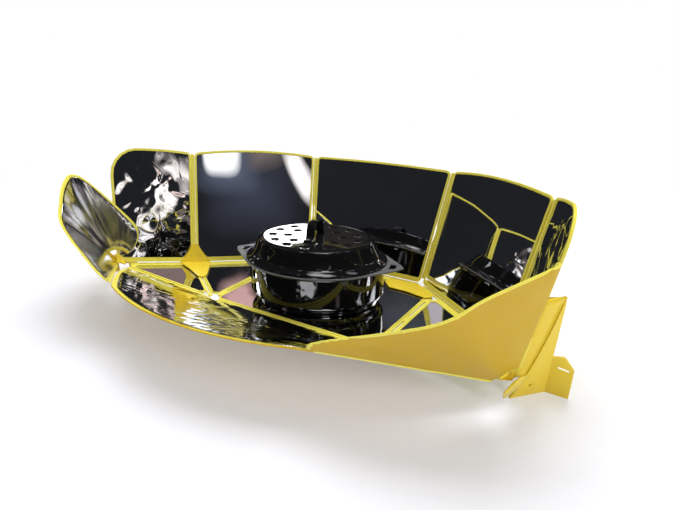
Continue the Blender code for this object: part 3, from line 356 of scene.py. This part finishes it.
true_film = mirror_film("film_on_flat_trays", 0.0004, Folds=8.0, Rays=0.0, Crinkles=40.0,
                        Sharp=0.0)
loose_film = mirror_film("film_on_end_trays", 0.0017, 0.03, Folds=9.0, Rays=0.0, Crinkles=28.0,
                         Sharp=0.6)
fanned_film = mirror_film("film_on_petals", 0.0016, 0.12, Folds=4.0, Rays=1.3, Streaks=3.5,
                          Crinkles=30.0, Sharp=0.0)
long_film = mirror_film("film_on_front_panel", 0.0005, 0.05, Folds=5.0, Rays=0.0, Streaks=5.0,
                        Crinkles=60.0, Sharp=1.3)
print("films", true_film.name, loose_film.name, fanned_film.name, long_film.name)

# %% Materials: enamel
SPECK_LIFT = 0.012


def enamel(name, base, rough, peel):
    material, tree, shader = started(name)
    group = placed(tree, enamel_skin, (-800, 0))
    speckled = tuple(c + SPECK_LIFT for c in base)
    link(tree, blended(tree, group.outputs["Speck"], base, speckled, (-300, 200)),
         shader.inputs["Base Color"])
    link(tree, stepped(tree, group.outputs["Dust"], 0.0, 1.0, rough, rough + 0.08, (-300, -100)),
         shader.inputs["Roughness"])
    shader.inputs["IOR"].default_value = 1.45
    bumped(tree, shader, group.outputs["Height"], 0.5, peel)
    return material


black_enamel = enamel("black_enamel", (0.006, 0.006, 0.0065), 0.05, 0.00012)
# the rim's grey is painted sheen, the soft highlight along the rolled edge, on enamel that is black
sheen_grey_enamel = enamel("enamel_rim_painted_sheen", (0.115, 0.115, 0.12), 0.42, 0.0001)
print("enamels", black_enamel.name, sheen_grey_enamel.name)

# %% [markdown]
# The plastic pieces come out of a mould, so no edge is sharp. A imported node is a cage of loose
# triangles: a copy is welded, its flat faces are joined again, and its edges are bevelled.

# %% Soft copies of the plastic pieces
def dress(obj, body, material, slot, *stands_for):
    """Links a finished piece, gives it its material and says what it rides on and replaces."""
    bpy.context.scene.collection.objects.link(obj)
    obj.data.materials.clear()
    obj.data.materials.append(material)
    for face in obj.data.polygons:
        face.use_smooth = True
    if stands_for:
        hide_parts(*stands_for)
    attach(obj, body)
    return obj


WELD = 0.00002
FLAT_TURN = math.radians(0.6)


def welded(node):
    """A bmesh of a node's shape with its triangles joined to flat faces."""
    bm = bmesh.new()
    bm.from_mesh(nodes[node].data)
    bmesh.ops.remove_doubles(bm, verts=bm.verts, dist=WELD)
    bmesh.ops.dissolve_limit(bm, angle_limit=FLAT_TURN, verts=bm.verts, edges=bm.edges)
    return bm


def to_object(bm, name):
    """Turns a bmesh into an object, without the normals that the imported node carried."""
    mesh = bpy.data.meshes.new(name)
    bm.to_mesh(mesh)
    bm.free()
    for extra in [a.name for a in mesh.attributes if a.name.startswith("custom_normal")]:
        mesh.attributes.remove(mesh.attributes[extra])
    return bpy.data.objects.new(name, mesh)


def bevelled(bm, edges, width, segments):
    bmesh.ops.bevel(bm, geom=edges, offset=width, offset_type="OFFSET", segments=segments,
                    profile=0.5, affect="EDGES", clamp_overlap=True, material=-1)


def bent(edge, angle):
    """Whether the two faces at an edge turn by more than the angle."""
    return len(edge.link_faces) == 2 and edge.calc_face_angle(0) > angle


def soft_copy(node, material, width=0.0008, segments=2, angle=35, slot="yellow_polypropylene"):
    """A copy of a node with rounded edges, which stands for it."""
    bm = welded(node)
    bevelled(bm, [e for e in bm.edges if bent(e, math.radians(angle))], width, segments)
    obj = dress(to_object(bm, node + "_soft"), body_of[node], material, slot, node)
    shade = obj.modifiers.new("even shading", "WEIGHTED_NORMAL")
    shade.keep_sharp = False
    return obj


both = ("_left", "_right")
for base in ("back_wall_tray", "floor_centre_tray"):
    soft_copy(base, lit_yellow_plastic, 0.0010, 3)
for side in both:
    for base in ("side_wall_tray", "end_wall_tray", "floor_side_tray", "wing_tray", "back_strut",
                 "end_strut"):
        soft_copy(base + side, lit_yellow_plastic, 0.0010, 3)
    for base in ("floor_strap", "side_hinge", "wing_hinge", "end_hinge", "wing_front_hinge",
                 "petal_hinge"):
        soft_copy(base + side, lit_yellow_plastic, 0.0007, 2)
    for base in ("diamond_connector", "back_corner_connector", "apex_star"):
        soft_copy(base + side, golden, 0.0006, 2, 40)
    soft_copy("foot" + side, golden, 0.0008, 2, 40)
for base in ("back_hinge", "front_hinge"):
    soft_copy(base, lit_yellow_plastic, 0.0007, 2)

# %% [markdown]
# The front panel and the petals are curved sheets. Their nodes are coarse, so a copy is welded,
# its outline is creased and a Subdivision Surface draws the curve through it.

# %% Curved sheets
BOWL_MIDDLE = Vector((0.0, 0.0, 0.25))
RIM_TURN = math.radians(50)
CREASE = 0.96
FACES_OUT = 0.35


def curved_copy(node, material, slot, inner=None):
    """A smoothed copy; faces that look into the bowl and the rim take the inner material."""
    bm = welded(node)
    crease = bm.edges.layers.float.new("crease_edge")
    for e in bm.edges:
        if bent(e, RIM_TURN):
            e[crease] = CREASE
    bm.normal_update()
    # faces turned away from the bowl keep the first material, the copy with painted shade
    kinds = []
    for face in bm.faces:
        away = (face.calc_center_median() - BOWL_MIDDLE).normalized().dot(face.normal)
        kinds.append(0 if inner is None or away > FACES_OUT else 1)
    obj = dress(to_object(bm, node + "_curved"), body_of[node], material, slot, node)
    if inner is not None:
        obj.data.materials.append(inner)
        obj.data.polygons.foreach_set("material_index", kinds)
    smooth = obj.modifiers.new("smooth curve", "SUBSURF")
    smooth.levels = 2
    smooth.render_levels = 2
    return obj


curved_copy("front_tray", shaded_yellow_plastic, "yellow_polypropylene", lit_yellow_plastic)
curved_copy("front_mirror", long_film, "mirror_sheet")
for side in both:
    curved_copy("petal_tray" + side, shaded_yellow_plastic, "yellow_polypropylene", lit_yellow_plastic)
    curved_copy("petal_mirror" + side, fanned_film, "mirror_sheet")

# %% Flat mirrors keep their nodes
flat_mirrors = [name for name, node in nodes.items() if "mirror" in name and not node.hide_render]
for name in flat_mirrors:
    film = loose_film if name.startswith("end_wall_mirror") else true_film
    nodes[name].data.materials.clear()
    nodes[name].data.materials.append(film)
print("flat mirrors", len(flat_mirrors))

# %% [markdown]
# The roaster is pressed from thin steel and enamelled black. A round shape is spun once round
# its axis, squeezed to the oval and turned on the floor; its rings are then rounded a little.

# %% Spun roaster shapes
POT_OVAL = 0.77
POT_TURN = math.radians(11.5)
pot_low, pot_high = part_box("pot_body")
pot_axis = Vector(((pot_low[0] + pot_high[0]) / 2, (pot_low[1] + pot_high[1]) / 2, 0.0))


def oval_place(level):
    """From the round shape's own space to its place on the oven's floor."""
    return (Matrix.Translation(pot_axis + Vector((0, 0, level)))
            @ Matrix.Rotation(POT_TURN, 4, "Z") @ Matrix.Diagonal((1.0, POT_OVAL, 1.0, 1.0)))


def spun(profile, steps=96):
    """A closed profile of (radius, height) points, spun round the upright axis."""
    bm = bmesh.new()
    verts = [bm.verts.new((r, 0.0, z)) for r, z in profile]
    edges = [bm.edges.new(pair) for pair in zip(verts, verts[1:])]
    bmesh.ops.spin(bm, geom=verts + edges, cent=(0, 0, 0), axis=(0, 0, 1), dvec=(0, 0, 0),
                   angle=math.tau, steps=steps, use_merge=True, use_duplicate=False)
    bmesh.ops.remove_doubles(bm, verts=bm.verts, dist=0.00001)
    bmesh.ops.recalc_face_normals(bm, faces=bm.faces)
    return bm


def rings_rounded(bm, width, angle=22):
    """Bevels the rings of a spun shape, where its wall turns sharply."""
    rings = [e for e in bm.edges if bent(e, math.radians(angle))
             and abs(e.verts[0].co.z - e.verts[1].co.z) < 1e-5]
    bevelled(bm, rings, width, 3)


def facing_place(at, facing):
    """A place at a point, with the spun shape's axis along the facing."""
    return Matrix.Translation(at) @ facing.to_track_quat("Z", "Y").to_matrix().to_4x4()


print("roaster axis", [round(v, 4) for v in pot_axis])

# %% Pot body
pot_height = pot_high[2] - pot_low[2]
body_profile = [(0.1325, pot_height), (0.1325, pot_height - 0.0018),
                (0.1285, pot_height - 0.0044), (0.1285, 0.0215), (0.1272, 0.0180),
                (0.1236, 0.0140), (0.1204, 0.0110), (0.1196, 0.0080), (0.1182, 0.0030),
                (0.1150, 0.0002), (0.1000, 0.0), (0.0960, 0.0015), (0.0, 0.0015),
                (0.0, 0.0031), (0.0960, 0.0031), (0.1080, 0.0035), (0.1160, 0.0055),
                (0.1184, 0.0120), (0.1239, 0.0185), (0.1269, 0.0230), (0.1269, pot_height),
                (0.1325, pot_height)]
bm = spun(body_profile)
rings_rounded(bm, 0.0007)
bmesh.ops.transform(bm, matrix=oval_place(pot_low[2]), verts=bm.verts)
dress(to_object(bm, "roaster_body"), body_of["pot_body"], black_enamel, "black_enamel",
      "pot_body")
print("roaster body height", round(pot_height, 4))

# %% [markdown]
# The flange is a flat plate with pointed ends and a finger hole in each. Its edge is rolled, and a
# grey bead of wire follows the outline of the plate. The flange and the bead are grey though their
# enamel is black: the grey is painted sheen, for the soft highlight along the rolled edge.

# %% Flange and its rolled edge
BEAD = 0.0016
BEAD_LIFT = 0.0003
INSIDE_RIM = 0.1375
soft_copy("pot_flange", sheen_grey_enamel, 0.0004, 2, 40, "black_enamel")
bm = welded("pot_flange")
flange_low, flange_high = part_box("pot_flange")
middle = (flange_low[2] + flange_high[2]) / 2
to_round = oval_place(0.0).inverted()
outline = []
for v in bm.verts:
    p = to_round @ v.co
    if abs(v.co.z - flange_high[2]) < 1e-4 and math.hypot(p.x, p.y) > INSIDE_RIM:
        wall = [e for e in v.link_edges if abs(e.verts[0].co.z - e.verts[1].co.z) > 0.001]
        on_rim = [f for e in wall for f in e.link_faces if abs(f.normal.z) < 0.5]
        if on_rim and (to_round.to_3x3() @ on_rim[0].normal).xy.dot(p.xy) > 0:
            outline.append((math.atan2(p.y, p.x), p))
bm.free()
outline.sort(key=lambda pair: pair[0])
path = bpy.data.curves.new("flange_bead", "CURVE")
path.dimensions = "3D"
path.bevel_depth = BEAD
path.bevel_resolution = 3
spline = path.splines.new("POLY")
spline.use_cyclic_u = True
spline.points.add(len(outline) - 1)
back = oval_place(0.0)
for point, (_, p) in zip(spline.points, outline):
    inward = p * (1 - BEAD / math.hypot(p.x, p.y))
    at = back @ Vector((inward.x, inward.y, 0.0))
    point.co = (at.x, at.y, middle + BEAD_LIFT, 1.0)
wire = bpy.data.objects.new("flange_bead", path)
bead = bpy.data.objects.new("flange_bead", bpy.data.meshes.new_from_object(wire))
bpy.data.objects.remove(wire)
dress(bead, body_of["pot_flange"], sheen_grey_enamel, "black_enamel")
print("flange outline points", len(outline))

# %% [markdown]
# The lid's top is pressed with rows of shallow dimples that let the steam drip back. They are
# real dents: the top has many rings, and the points near each dimple's middle are pushed down.

# %% Lid with dimples
LID_HEIGHT = 0.040
TOP_RADIUS = 0.100
RING_STEP = 0.0029
lid_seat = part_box("lid")[1][2] - LID_HEIGHT
top_rings = [(k * RING_STEP, LID_HEIGHT) for k in range(35)]
lid_profile = top_rings + [(0.1030, 0.0398), (0.1068, 0.0392), (0.1090, 0.0376), (0.1108, 0.0340),
                           (0.1128, 0.0280), (0.1200, 0.0130), (0.1218, 0.0105), (0.1250, 0.0086),
                           (0.1325, 0.0048), (0.1342, 0.0034), (0.1345, 0.0018), (0.1345, 0.0),
                           (0.1250, 0.0), (0.1242, -0.006), (0.1222, -0.006), (0.1210, 0.006),
                           (0.1164, 0.012), (0.1095, 0.0322), (0.1000, 0.0354), (0.0, 0.0354)]
DIMPLE_DEPTH = 0.0020
DIMPLE_REACH = 0.0088
dimples = []
for ring, count, shift in ((0.082, 13, 0.0), (0.052, 8, 0.3)):
    for k in range(count):
        turn = math.tau * (k + shift) / count
        dimples.append(Vector((ring * math.cos(turn), ring * math.sin(turn))))
bm = spun(lid_profile, 120)
rings_rounded(bm, 0.0007, 24)
for v in bm.verts:
    if v.co.z < LID_HEIGHT - 0.0002 or v.co.xy.length > TOP_RADIUS:
        continue
    near = min((v.co.xy - spot).length for spot in dimples)
    if near < DIMPLE_REACH:
        v.co.z -= DIMPLE_DEPTH * (0.5 + 0.5 * math.cos(math.pi * near / DIMPLE_REACH))
bmesh.ops.transform(bm, matrix=oval_place(lid_seat), verts=bm.verts)
dress(to_object(bm, "roaster_lid"), body_of["lid"], black_enamel, "black_enamel", "lid")
print("dimples", len(dimples))

# %% Strap grip and its rivets
soft_copy("lid_grip", black_enamel, 0.0008, 3, 30, "black_enamel")
GRIP_FOOT = 0.0315
GRIP_PLATE = 0.0026
grip_turn = POT_TURN + math.pi / 2
grip_way = Vector((math.cos(grip_turn), math.sin(grip_turn), 0))
for k, way in enumerate((-1, 1)):
    bm = spun([(0.0, 0.0018), (0.0014, 0.0016), (0.0026, 0.0009), (0.0032, 0.0), (0.0, 0.0)], 20)
    at = pot_axis + grip_way * GRIP_FOOT * way
    at.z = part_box("lid_grip")[0][2] + GRIP_PLATE
    bmesh.ops.transform(bm, matrix=Matrix.Translation(at), verts=bm.verts)
    # the rivets take the same grey, which is painted sheen
    dress(to_object(bm, "grip_rivet_%d" % (k + 1)), body_of["lid_grip"], sheen_grey_enamel,
          "black_enamel")
print("grip rivets at", round(GRIP_FOOT, 4))

# %% [markdown]
# At each outer corner the petal, the front panel, the wing and the end wall meet, and the floor
# would show through between them. A fitting with a snap hole sits there. Its five lobes are a
# guess: a shallow dish is spun, and its edge is drawn out by a cosine of the bearing.

# %% Corner hubs
HUB_AT = Vector((0.3985, -0.0985, 0.0450))
HUB_FACING = Vector((-0.86, 0.30, 0.42)).normalized()
HUB_PROFILE = [(0.0, -0.0010), (0.0024, -0.0010), (0.0027, 0.0022), (0.0042, 0.0032),
               (0.0062, 0.0030), (0.0100, 0.0014), (0.0160, 0.0006), (0.0205, -0.0004),
               (0.0200, -0.0020), (0.0090, -0.0014), (0.0, -0.0030)]
LOBES = 5
LOBE_DEPTH = 0.10
LOBE_START = 0.009
LOBE_SPAN = 0.0115
for side, way in (("_left", -1), ("_right", 1)):
    bm = spun(HUB_PROFILE, 60)
    for v in bm.verts:
        reach = v.co.xy.length
        if reach > LOBE_START:
            wave = math.cos(LOBES * math.atan2(v.co.y, v.co.x))
            lobe = 1 + LOBE_DEPTH * wave * (reach - LOBE_START) / LOBE_SPAN
            v.co.x *= lobe
            v.co.y *= lobe
    facing = Vector((HUB_FACING.x * way, HUB_FACING.y, HUB_FACING.z))
    at = Vector((HUB_AT.x * way, HUB_AT.y, HUB_AT.z))
    bmesh.ops.transform(bm, matrix=facing_place(at, facing), verts=bm.verts)
    dress(to_object(bm, "corner_hub" + side), body_of["apex_star" + side], golden,
          "yellow_polypropylene")
print("hub lobes", LOBES)

# %% [markdown]
# The gusset is a filler that the real foot doesn't have: the petal lies against the foot there,
# and this one stops a little short. It is one row of faces between the blade's curved edge and the
# petal, thickened. A raised ring stands for the bump round the foot's snap hole.

# %% Foot gussets and snap rings
FOOT_TOP = Vector((0.4376, -0.0638, 0.1612))
FOOT_BOW = Vector((0.4110, -0.0527, 0.0480))
FOOT_TOE = Vector((0.3864, -0.0622, 0.0015))
GUSSET_EDGE = [(0.4165, -0.0863, 0.1590), (0.4111, -0.0826, 0.1348),
               (0.4054, -0.0794, 0.1087), (0.3998, -0.0768, 0.0849),
               (0.3958, -0.0735, 0.0635), (0.3938, -0.0662, 0.0371)]
GUSSET_END = 0.70
GUSSET_THICKNESS = 0.0026
RING_PROFILE = [(0.0022, 0.0010), (0.0030, 0.0058), (0.0052, 0.0070), (0.0092, 0.0052),
                (0.0128, 0.0010), (0.0022, 0.0010)]
SNAP_AT = Vector((0.4034, -0.0438, 0.0205))
SNAP_FACING = Vector((0.7296, -0.6411, -0.2381))


def mirrored(bm, way):
    """Turns a right-hand piece into the left-hand one where way is -1."""
    if way < 0:
        bmesh.ops.scale(bm, vec=(-1, 1, 1), verts=bm.verts)
    bmesh.ops.recalc_face_normals(bm, faces=bm.faces)


last = len(GUSSET_EDGE) - 1
for side, way in (("_left", -1), ("_right", 1)):
    bm = bmesh.new()
    pairs = []
    for k, outer in enumerate(GUSSET_EDGE):
        t = k / last * GUSSET_END
        blade = FOOT_TOP * (1 - t) ** 2 + FOOT_BOW * 2 * t * (1 - t) + FOOT_TOE * t * t
        pairs.append((bm.verts.new(blade), bm.verts.new(outer)))
    for (a, b), (c, d) in zip(pairs, pairs[1:]):
        bm.faces.new((a, b, d, c))
    bmesh.ops.subdivide_edges(bm, edges=bm.edges[:], cuts=2, use_grid_fill=True)
    bmesh.ops.recalc_face_normals(bm, faces=bm.faces)
    bmesh.ops.solidify(bm, geom=bm.faces[:], thickness=GUSSET_THICKNESS)
    mirrored(bm, way)
    dress(to_object(bm, "foot_gusset" + side), body_of["foot" + side], golden,
          "yellow_polypropylene")
    bm = spun(RING_PROFILE, 40)
    bmesh.ops.transform(bm, matrix=facing_place(SNAP_AT, SNAP_FACING), verts=bm.verts)
    mirrored(bm, way)
    dress(to_object(bm, "foot_snap_ring" + side), body_of["foot" + side], golden,
          "yellow_polypropylene")
print("gusset edge points", len(GUSSET_EDGE))

# %% [markdown]
# The studio is a pale floor that rises to a backdrop behind the oven. Far from the oven it turns
# into plain white for the camera, for mirrors and for glass; close by it keeps the shadow.

# %% Floor and backdrop
FLOOR_REACH = 9.0
FAR_EDGE = 8.9
BACKDROP_HEIGHT = 7.0
BACKDROP_BEND = 2.5
BEHIND_OVEN = math.radians(32.5)
FLOOR_SHIFT = (0, -3.5, 0)


def make_sweep():
    bm = bmesh.new()
    bmesh.ops.create_grid(bm, x_segments=2, y_segments=2, size=FLOOR_REACH)
    far = [e for e in bm.edges if all(v.co.y > FAR_EDGE for v in e.verts)]
    made = bmesh.ops.extrude_edge_only(bm, edges=far)
    bmesh.ops.translate(bm, verts=[v for v in made["geom"] if isinstance(v, bmesh.types.BMVert)],
                        vec=(0, 0, BACKDROP_HEIGHT))
    fold = [e for e in bm.edges if all(v.co.y > FAR_EDGE and v.co.z < 0.1 for v in e.verts)]
    bevelled(bm, fold, BACKDROP_BEND, 16)
    turned = Matrix.Rotation(BEHIND_OVEN, 4, "Z") @ Matrix.Translation(FLOOR_SHIFT)
    bmesh.ops.transform(bm, matrix=turned, verts=bm.verts)
    mesh = bpy.data.meshes.new("studio_sweep")
    bm.to_mesh(mesh)
    bm.free()
    for face in mesh.polygons:
        face.use_smooth = True
    sweep = bpy.data.objects.new("studio_sweep", mesh)
    bpy.context.scene.collection.objects.link(sweep)
    return sweep


WHITE_FROM, WHITE_BY = 0.75, 1.7
NEAR_LIFT = 0.28


def paper():
    """Pale paper with the oven's shadow, mixed to plain white with the distance."""
    material, tree, shader = started("studio_paper")
    tree.nodes.remove(shader)
    out = tree.nodes["Material Output"]
    place = object_place(tree, (-1200, 0))
    far = vector_maths(tree, "LENGTH", place, at=(-1000, 0))
    fade = stepped(tree, far, WHITE_FROM, WHITE_BY, at=(-800, 0))
    lifted = maths(tree, "MULTIPLY_ADD", fade, 1 - NEAR_LIFT, (-600, 150), c=NEAR_LIFT)
    mask = maths(tree, "MULTIPLY", backdrop_rays(tree, (-1000, 300)), lifted, (-400, 200))
    plain = add(tree, "ShaderNodeBsdfDiffuse", (-400, 0))
    fibre = noise_at(tree, place, 40.0, 3.0, 0.6, (-900, -300))
    link(tree, blended(tree, fibre, (0.84, 0.85, 0.93), (0.88, 0.89, 0.97), (-650, -200)),
         plain.inputs["Color"])
    white = add(tree, "ShaderNodeEmission", (-400, -200))
    white.inputs["Strength"].default_value = 1.0
    mix = add(tree, "ShaderNodeMixShader", (-100, 100))
    link(tree, mask, mix.inputs[0])
    link(tree, plain.outputs[0], mix.inputs[1])
    link(tree, white.outputs[0], mix.inputs[2])
    link(tree, mix.outputs[0], out.inputs["Surface"])
    return material


sweep = make_sweep()
sweep.data.materials.append(paper())
print("white by", WHITE_BY, "m")

# %% [markdown]
# Mirrors show the room, and the room in front of the oven is dark, with windows and pale walls
# far off. A dome that only reflections see carries that room: dark paint with soft-edged panes,
# each at its own bearing and height, so that every wall of the bowl shows what it faces.

# %% Group: pane
def make_pane():
    """A soft-edged pane: 1 inside, 0 outside, in degrees of bearing and height."""
    tree, start, end = new_group("pane",
                                 [("Bearing", 0.0), ("Rise", 0.0), ("At Bearing", 0.0),
                                  ("At Rise", 0.0), ("Half Width", 5.0), ("Half Height", 5.0),
                                  ("Turn", 0.0), ("Soft", 0.3)],
                                 [("Mask", "NodeSocketFloat")])
    given = start.outputs
    across = maths(tree, "SUBTRACT", given["Bearing"], given["At Bearing"], (-700, 200))
    upward = maths(tree, "SUBTRACT", given["Rise"], given["At Rise"], (-700, 0))
    cosine = maths(tree, "COSINE", given["Turn"], at=(-700, -200))
    sine = maths(tree, "SINE", given["Turn"], at=(-700, -400))
    u = maths(tree, "ADD", maths(tree, "MULTIPLY", across, cosine),
              maths(tree, "MULTIPLY", upward, sine))
    v = maths(tree, "SUBTRACT", maths(tree, "MULTIPLY", upward, cosine),
              maths(tree, "MULTIPLY", across, sine))
    powers = []
    for side_way, half in ((u, given["Half Width"]), (v, given["Half Height"])):
        share = maths(tree, "DIVIDE", maths(tree, "ABSOLUTE", side_way), half)
        powers.append(maths(tree, "POWER", share, 4.0))
    away = maths(tree, "POWER", maths(tree, "ADD", *powers), 0.25, (200, 0))
    left = maths(tree, "SUBTRACT", 1.0, away, (350, 0))
    mask = maths(tree, "DIVIDE", left, given["Soft"], (500, 0), True)
    link(tree, mask, end.inputs["Mask"])
    return tree


pane = make_pane()
print("group", pane.name)

# %% Dark room dome
DOME_MIDDLE = Vector((0.0, 0.0, 0.12))
DOME_REACH = 2.0
DOME_FOOT = -0.10
panes = [
    # bearing, rise, half width, half height, turn, softness, colour
    (28.0, 25.0, 11.0, 9.0, 0.0, 1.0, (0.055, 0.062, 0.09)),
    (22.5, 30.0, 7.5, 6.0, 0.0, 1.0, (0.14, 0.17, 0.24)),
    (30.0, 33.5, 5.0, 4.5, 0.25, 0.7, (0.20, 0.16, 0.15)),
    (21.3, 34.2, 4.3, 6.8, 0.0, 0.3, (1.5, 1.5, 1.5)),
    (37.9, 28.5, 2.2, 7.0, 0.50, 0.6, (1.6, 1.5, 1.45)),
    (31.5, 60.5, 10.0, 4.0, 0.0, 0.2, (18.0, 18.0, 18.0)),
    (-33.0, 63.0, 6.0, 2.0, 0.0, 0.4, (8.0, 8.0, 8.0)),
    (-162.0, 67.0, 12.0, 5.0, 0.0, 0.4, (9.0, 9.2, 9.6)),
    (15.0, 77.0, 60.0, 7.0, 0.0, 0.4, (9.0, 9.0, 9.0)),
    (-59.0, 50.0, 12.0, 8.0, 0.0, 0.8, (0.10, 0.08, 0.07)),
    (10.5, 65.0, 8.0, 5.0, 0.0, 0.5, (0.75, 0.45, 0.42)),
    (-104.0, 48.0, 13.0, 10.0, 0.0, 0.5, (0.58, 0.52, 0.54)),
    (-48.0, 61.0, 14.0, 7.0, 0.0, 0.7, (0.065, 0.07, 0.08)),
    (118.0, 45.0, 10.0, 9.0, 0.0, 0.4, (0.26, 0.18, 0.17)),
    (74.0, 7.0, 3.0, 3.5, 0.0, 0.6, (0.35, 0.30, 0.33)),
    (110.0, 12.0, 4.0, 5.0, 0.0, 0.5, (1.0, 0.85, 0.80)),
    (51.0, 36.0, 4.0, 4.0, 0.0, 0.5, (0.9, 0.75, 0.70)),
    (127.0, 68.0, 9.0, 6.0, 0.0, 0.5, (4.0, 4.2, 4.4)),
    (65.0, 55.0, 4.0, 4.0, 0.0, 0.4, (5.0, 5.0, 5.0)),
]
# panes that the ruffle noise breaks up, seen in the loose film
foil_panes = [
    (96.0, 14.5, 8.5, 2.8, 0.87, 0.5, (1.9, 1.75, 1.65)),
    (105.3, 22.3, 2.8, 3.6, 0.0, 0.4, (1.6, 1.25, 1.15)),
    (-46.0, 41.5, 4.5, 4.0, 0.0, 0.5, (1.6, 1.5, 1.45)),
    (84.8, 6.0, 3.2, 5.0, 0.0, 0.4, (1.8, 1.8, 1.8)),
    (142.0, 14.0, 9.0, 8.0, 0.0, 0.5, (1.4, 1.35, 1.35)),
    (-62.0, 31.5, 5.0, 4.5, 0.0, 0.5, (1.5, 1.2, 1.1)),
    (-152.0, 6.0, 9.0, 6.0, 0.0, 0.5, (1.1, 1.0, 1.0)),
]


def make_dome():
    bm = bmesh.new()
    bmesh.ops.create_uvsphere(bm, u_segments=48, v_segments=24, radius=DOME_REACH)
    bmesh.ops.bisect_plane(bm, geom=bm.verts[:] + bm.edges[:] + bm.faces[:],
                           plane_co=(0, 0, DOME_FOOT), plane_no=(0, 0, -1), clear_outer=True)
    bmesh.ops.translate(bm, verts=bm.verts, vec=DOME_MIDDLE)
    bmesh.ops.reverse_faces(bm, faces=bm.faces)
    mesh = bpy.data.meshes.new("surround_dome")
    bm.to_mesh(mesh)
    bm.free()
    dome = bpy.data.objects.new("surround_dome", mesh)
    bpy.context.scene.collection.objects.link(dome)
    for ray in ("camera", "diffuse", "shadow", "transmission", "volume_scatter"):
        setattr(dome, "visible_" + ray, False)
    return dome


def room_paint():
    """Dark paint with glowing panes, which are out for rays that a diffuse surface sent on."""
    material, tree, shader = started("dark_room_paint")
    tree.nodes.remove(shader)
    place = object_place(tree, (-2000, 0))
    axes = axes_of(tree, vector_maths(tree, "SUBTRACT", place, DOME_MIDDLE, (-1800, 0)), (-1600, 0))
    back_way = maths(tree, "MULTIPLY", axes["Y"], -1.0, (-1400, 200))
    bearing = maths(tree, "ARCTAN2", axes["X"], back_way, (-1200, 200))
    bearing = maths(tree, "MULTIPLY", bearing, math.degrees(1), (-1000, 200))
    lean = maths(tree, "DIVIDE", axes["Z"], DOME_REACH, (-1400, -100))
    rise = maths(tree, "ARCSINE", lean, at=(-1200, -100))
    rise = maths(tree, "MULTIPLY", rise, math.degrees(1), (-1000, -100))
    cloud = noise_at(tree, place, 1.6, 3.0, 0.6, (-1200, -400))
    colour = blended(tree, cloud, (0.010, 0.011, 0.013), (0.020, 0.021, 0.024), (-800, -400))
    ruffle = noise_at(tree, place, 9.0, 3.0, 0.65, (-1200, -700), 1.5)
    ruffle = stepped(tree, ruffle, 0.40, 0.60, 0.25, 1.0, (-1000, -700))
    labels = ("At Bearing", "At Rise", "Half Width", "Half Height", "Turn", "Soft")
    for k, (*measures, shade) in enumerate(panes + foil_panes):
        spot = placed(tree, pane, (-600 + 60 * k, 0), **dict(zip(labels, measures)))
        link(tree, bearing, spot.inputs["Bearing"])
        link(tree, rise, spot.inputs["Rise"])
        mask = spot.outputs["Mask"]
        if k >= len(panes):
            mask = maths(tree, "MULTIPLY", mask, ruffle, (-520 + 60 * k, -100))
        colour = blended(tree, mask, colour, shade, (-500 + 60 * k, -200))
    glow = add(tree, "ShaderNodeEmission", (900, 0))
    link(tree, colour, glow.inputs["Color"])
    path = add(tree, "ShaderNodeLightPath", (500, 300))
    first = maths(tree, "LESS_THAN", path.outputs["Diffuse Depth"], 0.5, (700, 300))
    link(tree, first, glow.inputs["Strength"])
    link(tree, glow.outputs[0], tree.nodes["Material Output"].inputs["Surface"])
    return material


dome = make_dome()
dome.data.materials.append(room_paint())
print("panes", len(panes), "and broken ones", len(foil_panes))

# %% [markdown]
# Two soft lamps and an even air light the oven at a plain level. The air is white only where the
# camera, a mirror or glass looks at it, and dimmer where it lights the oven.

# %% Lights
AIR_LIGHT = 0.38


def area_light(name, at, aim, width, height, power):
    data = bpy.data.lights.new(name, "AREA")
    data.shape = "RECTANGLE"
    data.size = width
    data.size_y = height
    data.energy = power
    obj = bpy.data.objects.new(name, data)
    obj.location = at
    obj.rotation_mode = "QUATERNION"
    obj.rotation_quaternion = (Vector(aim) - Vector(at)).to_track_quat("-Z", "Y")
    bpy.context.scene.collection.objects.link(obj)
    obj.visible_glossy = False


area_light("overhead", (-0.3, 0.7, 2.3), (0, 0, 0), 2.2, 1.6, 68)
area_light("right_fill", (2.2, -0.9, 1.3), (0.2, 0, 0.1), 0.9, 0.9, 22)

world = bpy.data.worlds.new("studio_air")
bpy.context.scene.world = world
world.use_nodes = True
tree = world.node_tree
air = tree.nodes["Background"]
seen = backdrop_rays(tree, (-900, 0))
link(tree, stepped(tree, seen, 0.0, 1.0, AIR_LIGHT, 1.0, (-200, 0)), air.inputs["Strength"])
air.inputs["Color"].default_value = (1, 1, 1, 1)

bpy.context.scene.view_settings.view_transform = "Standard"
print("lamps", len(bpy.data.lights))
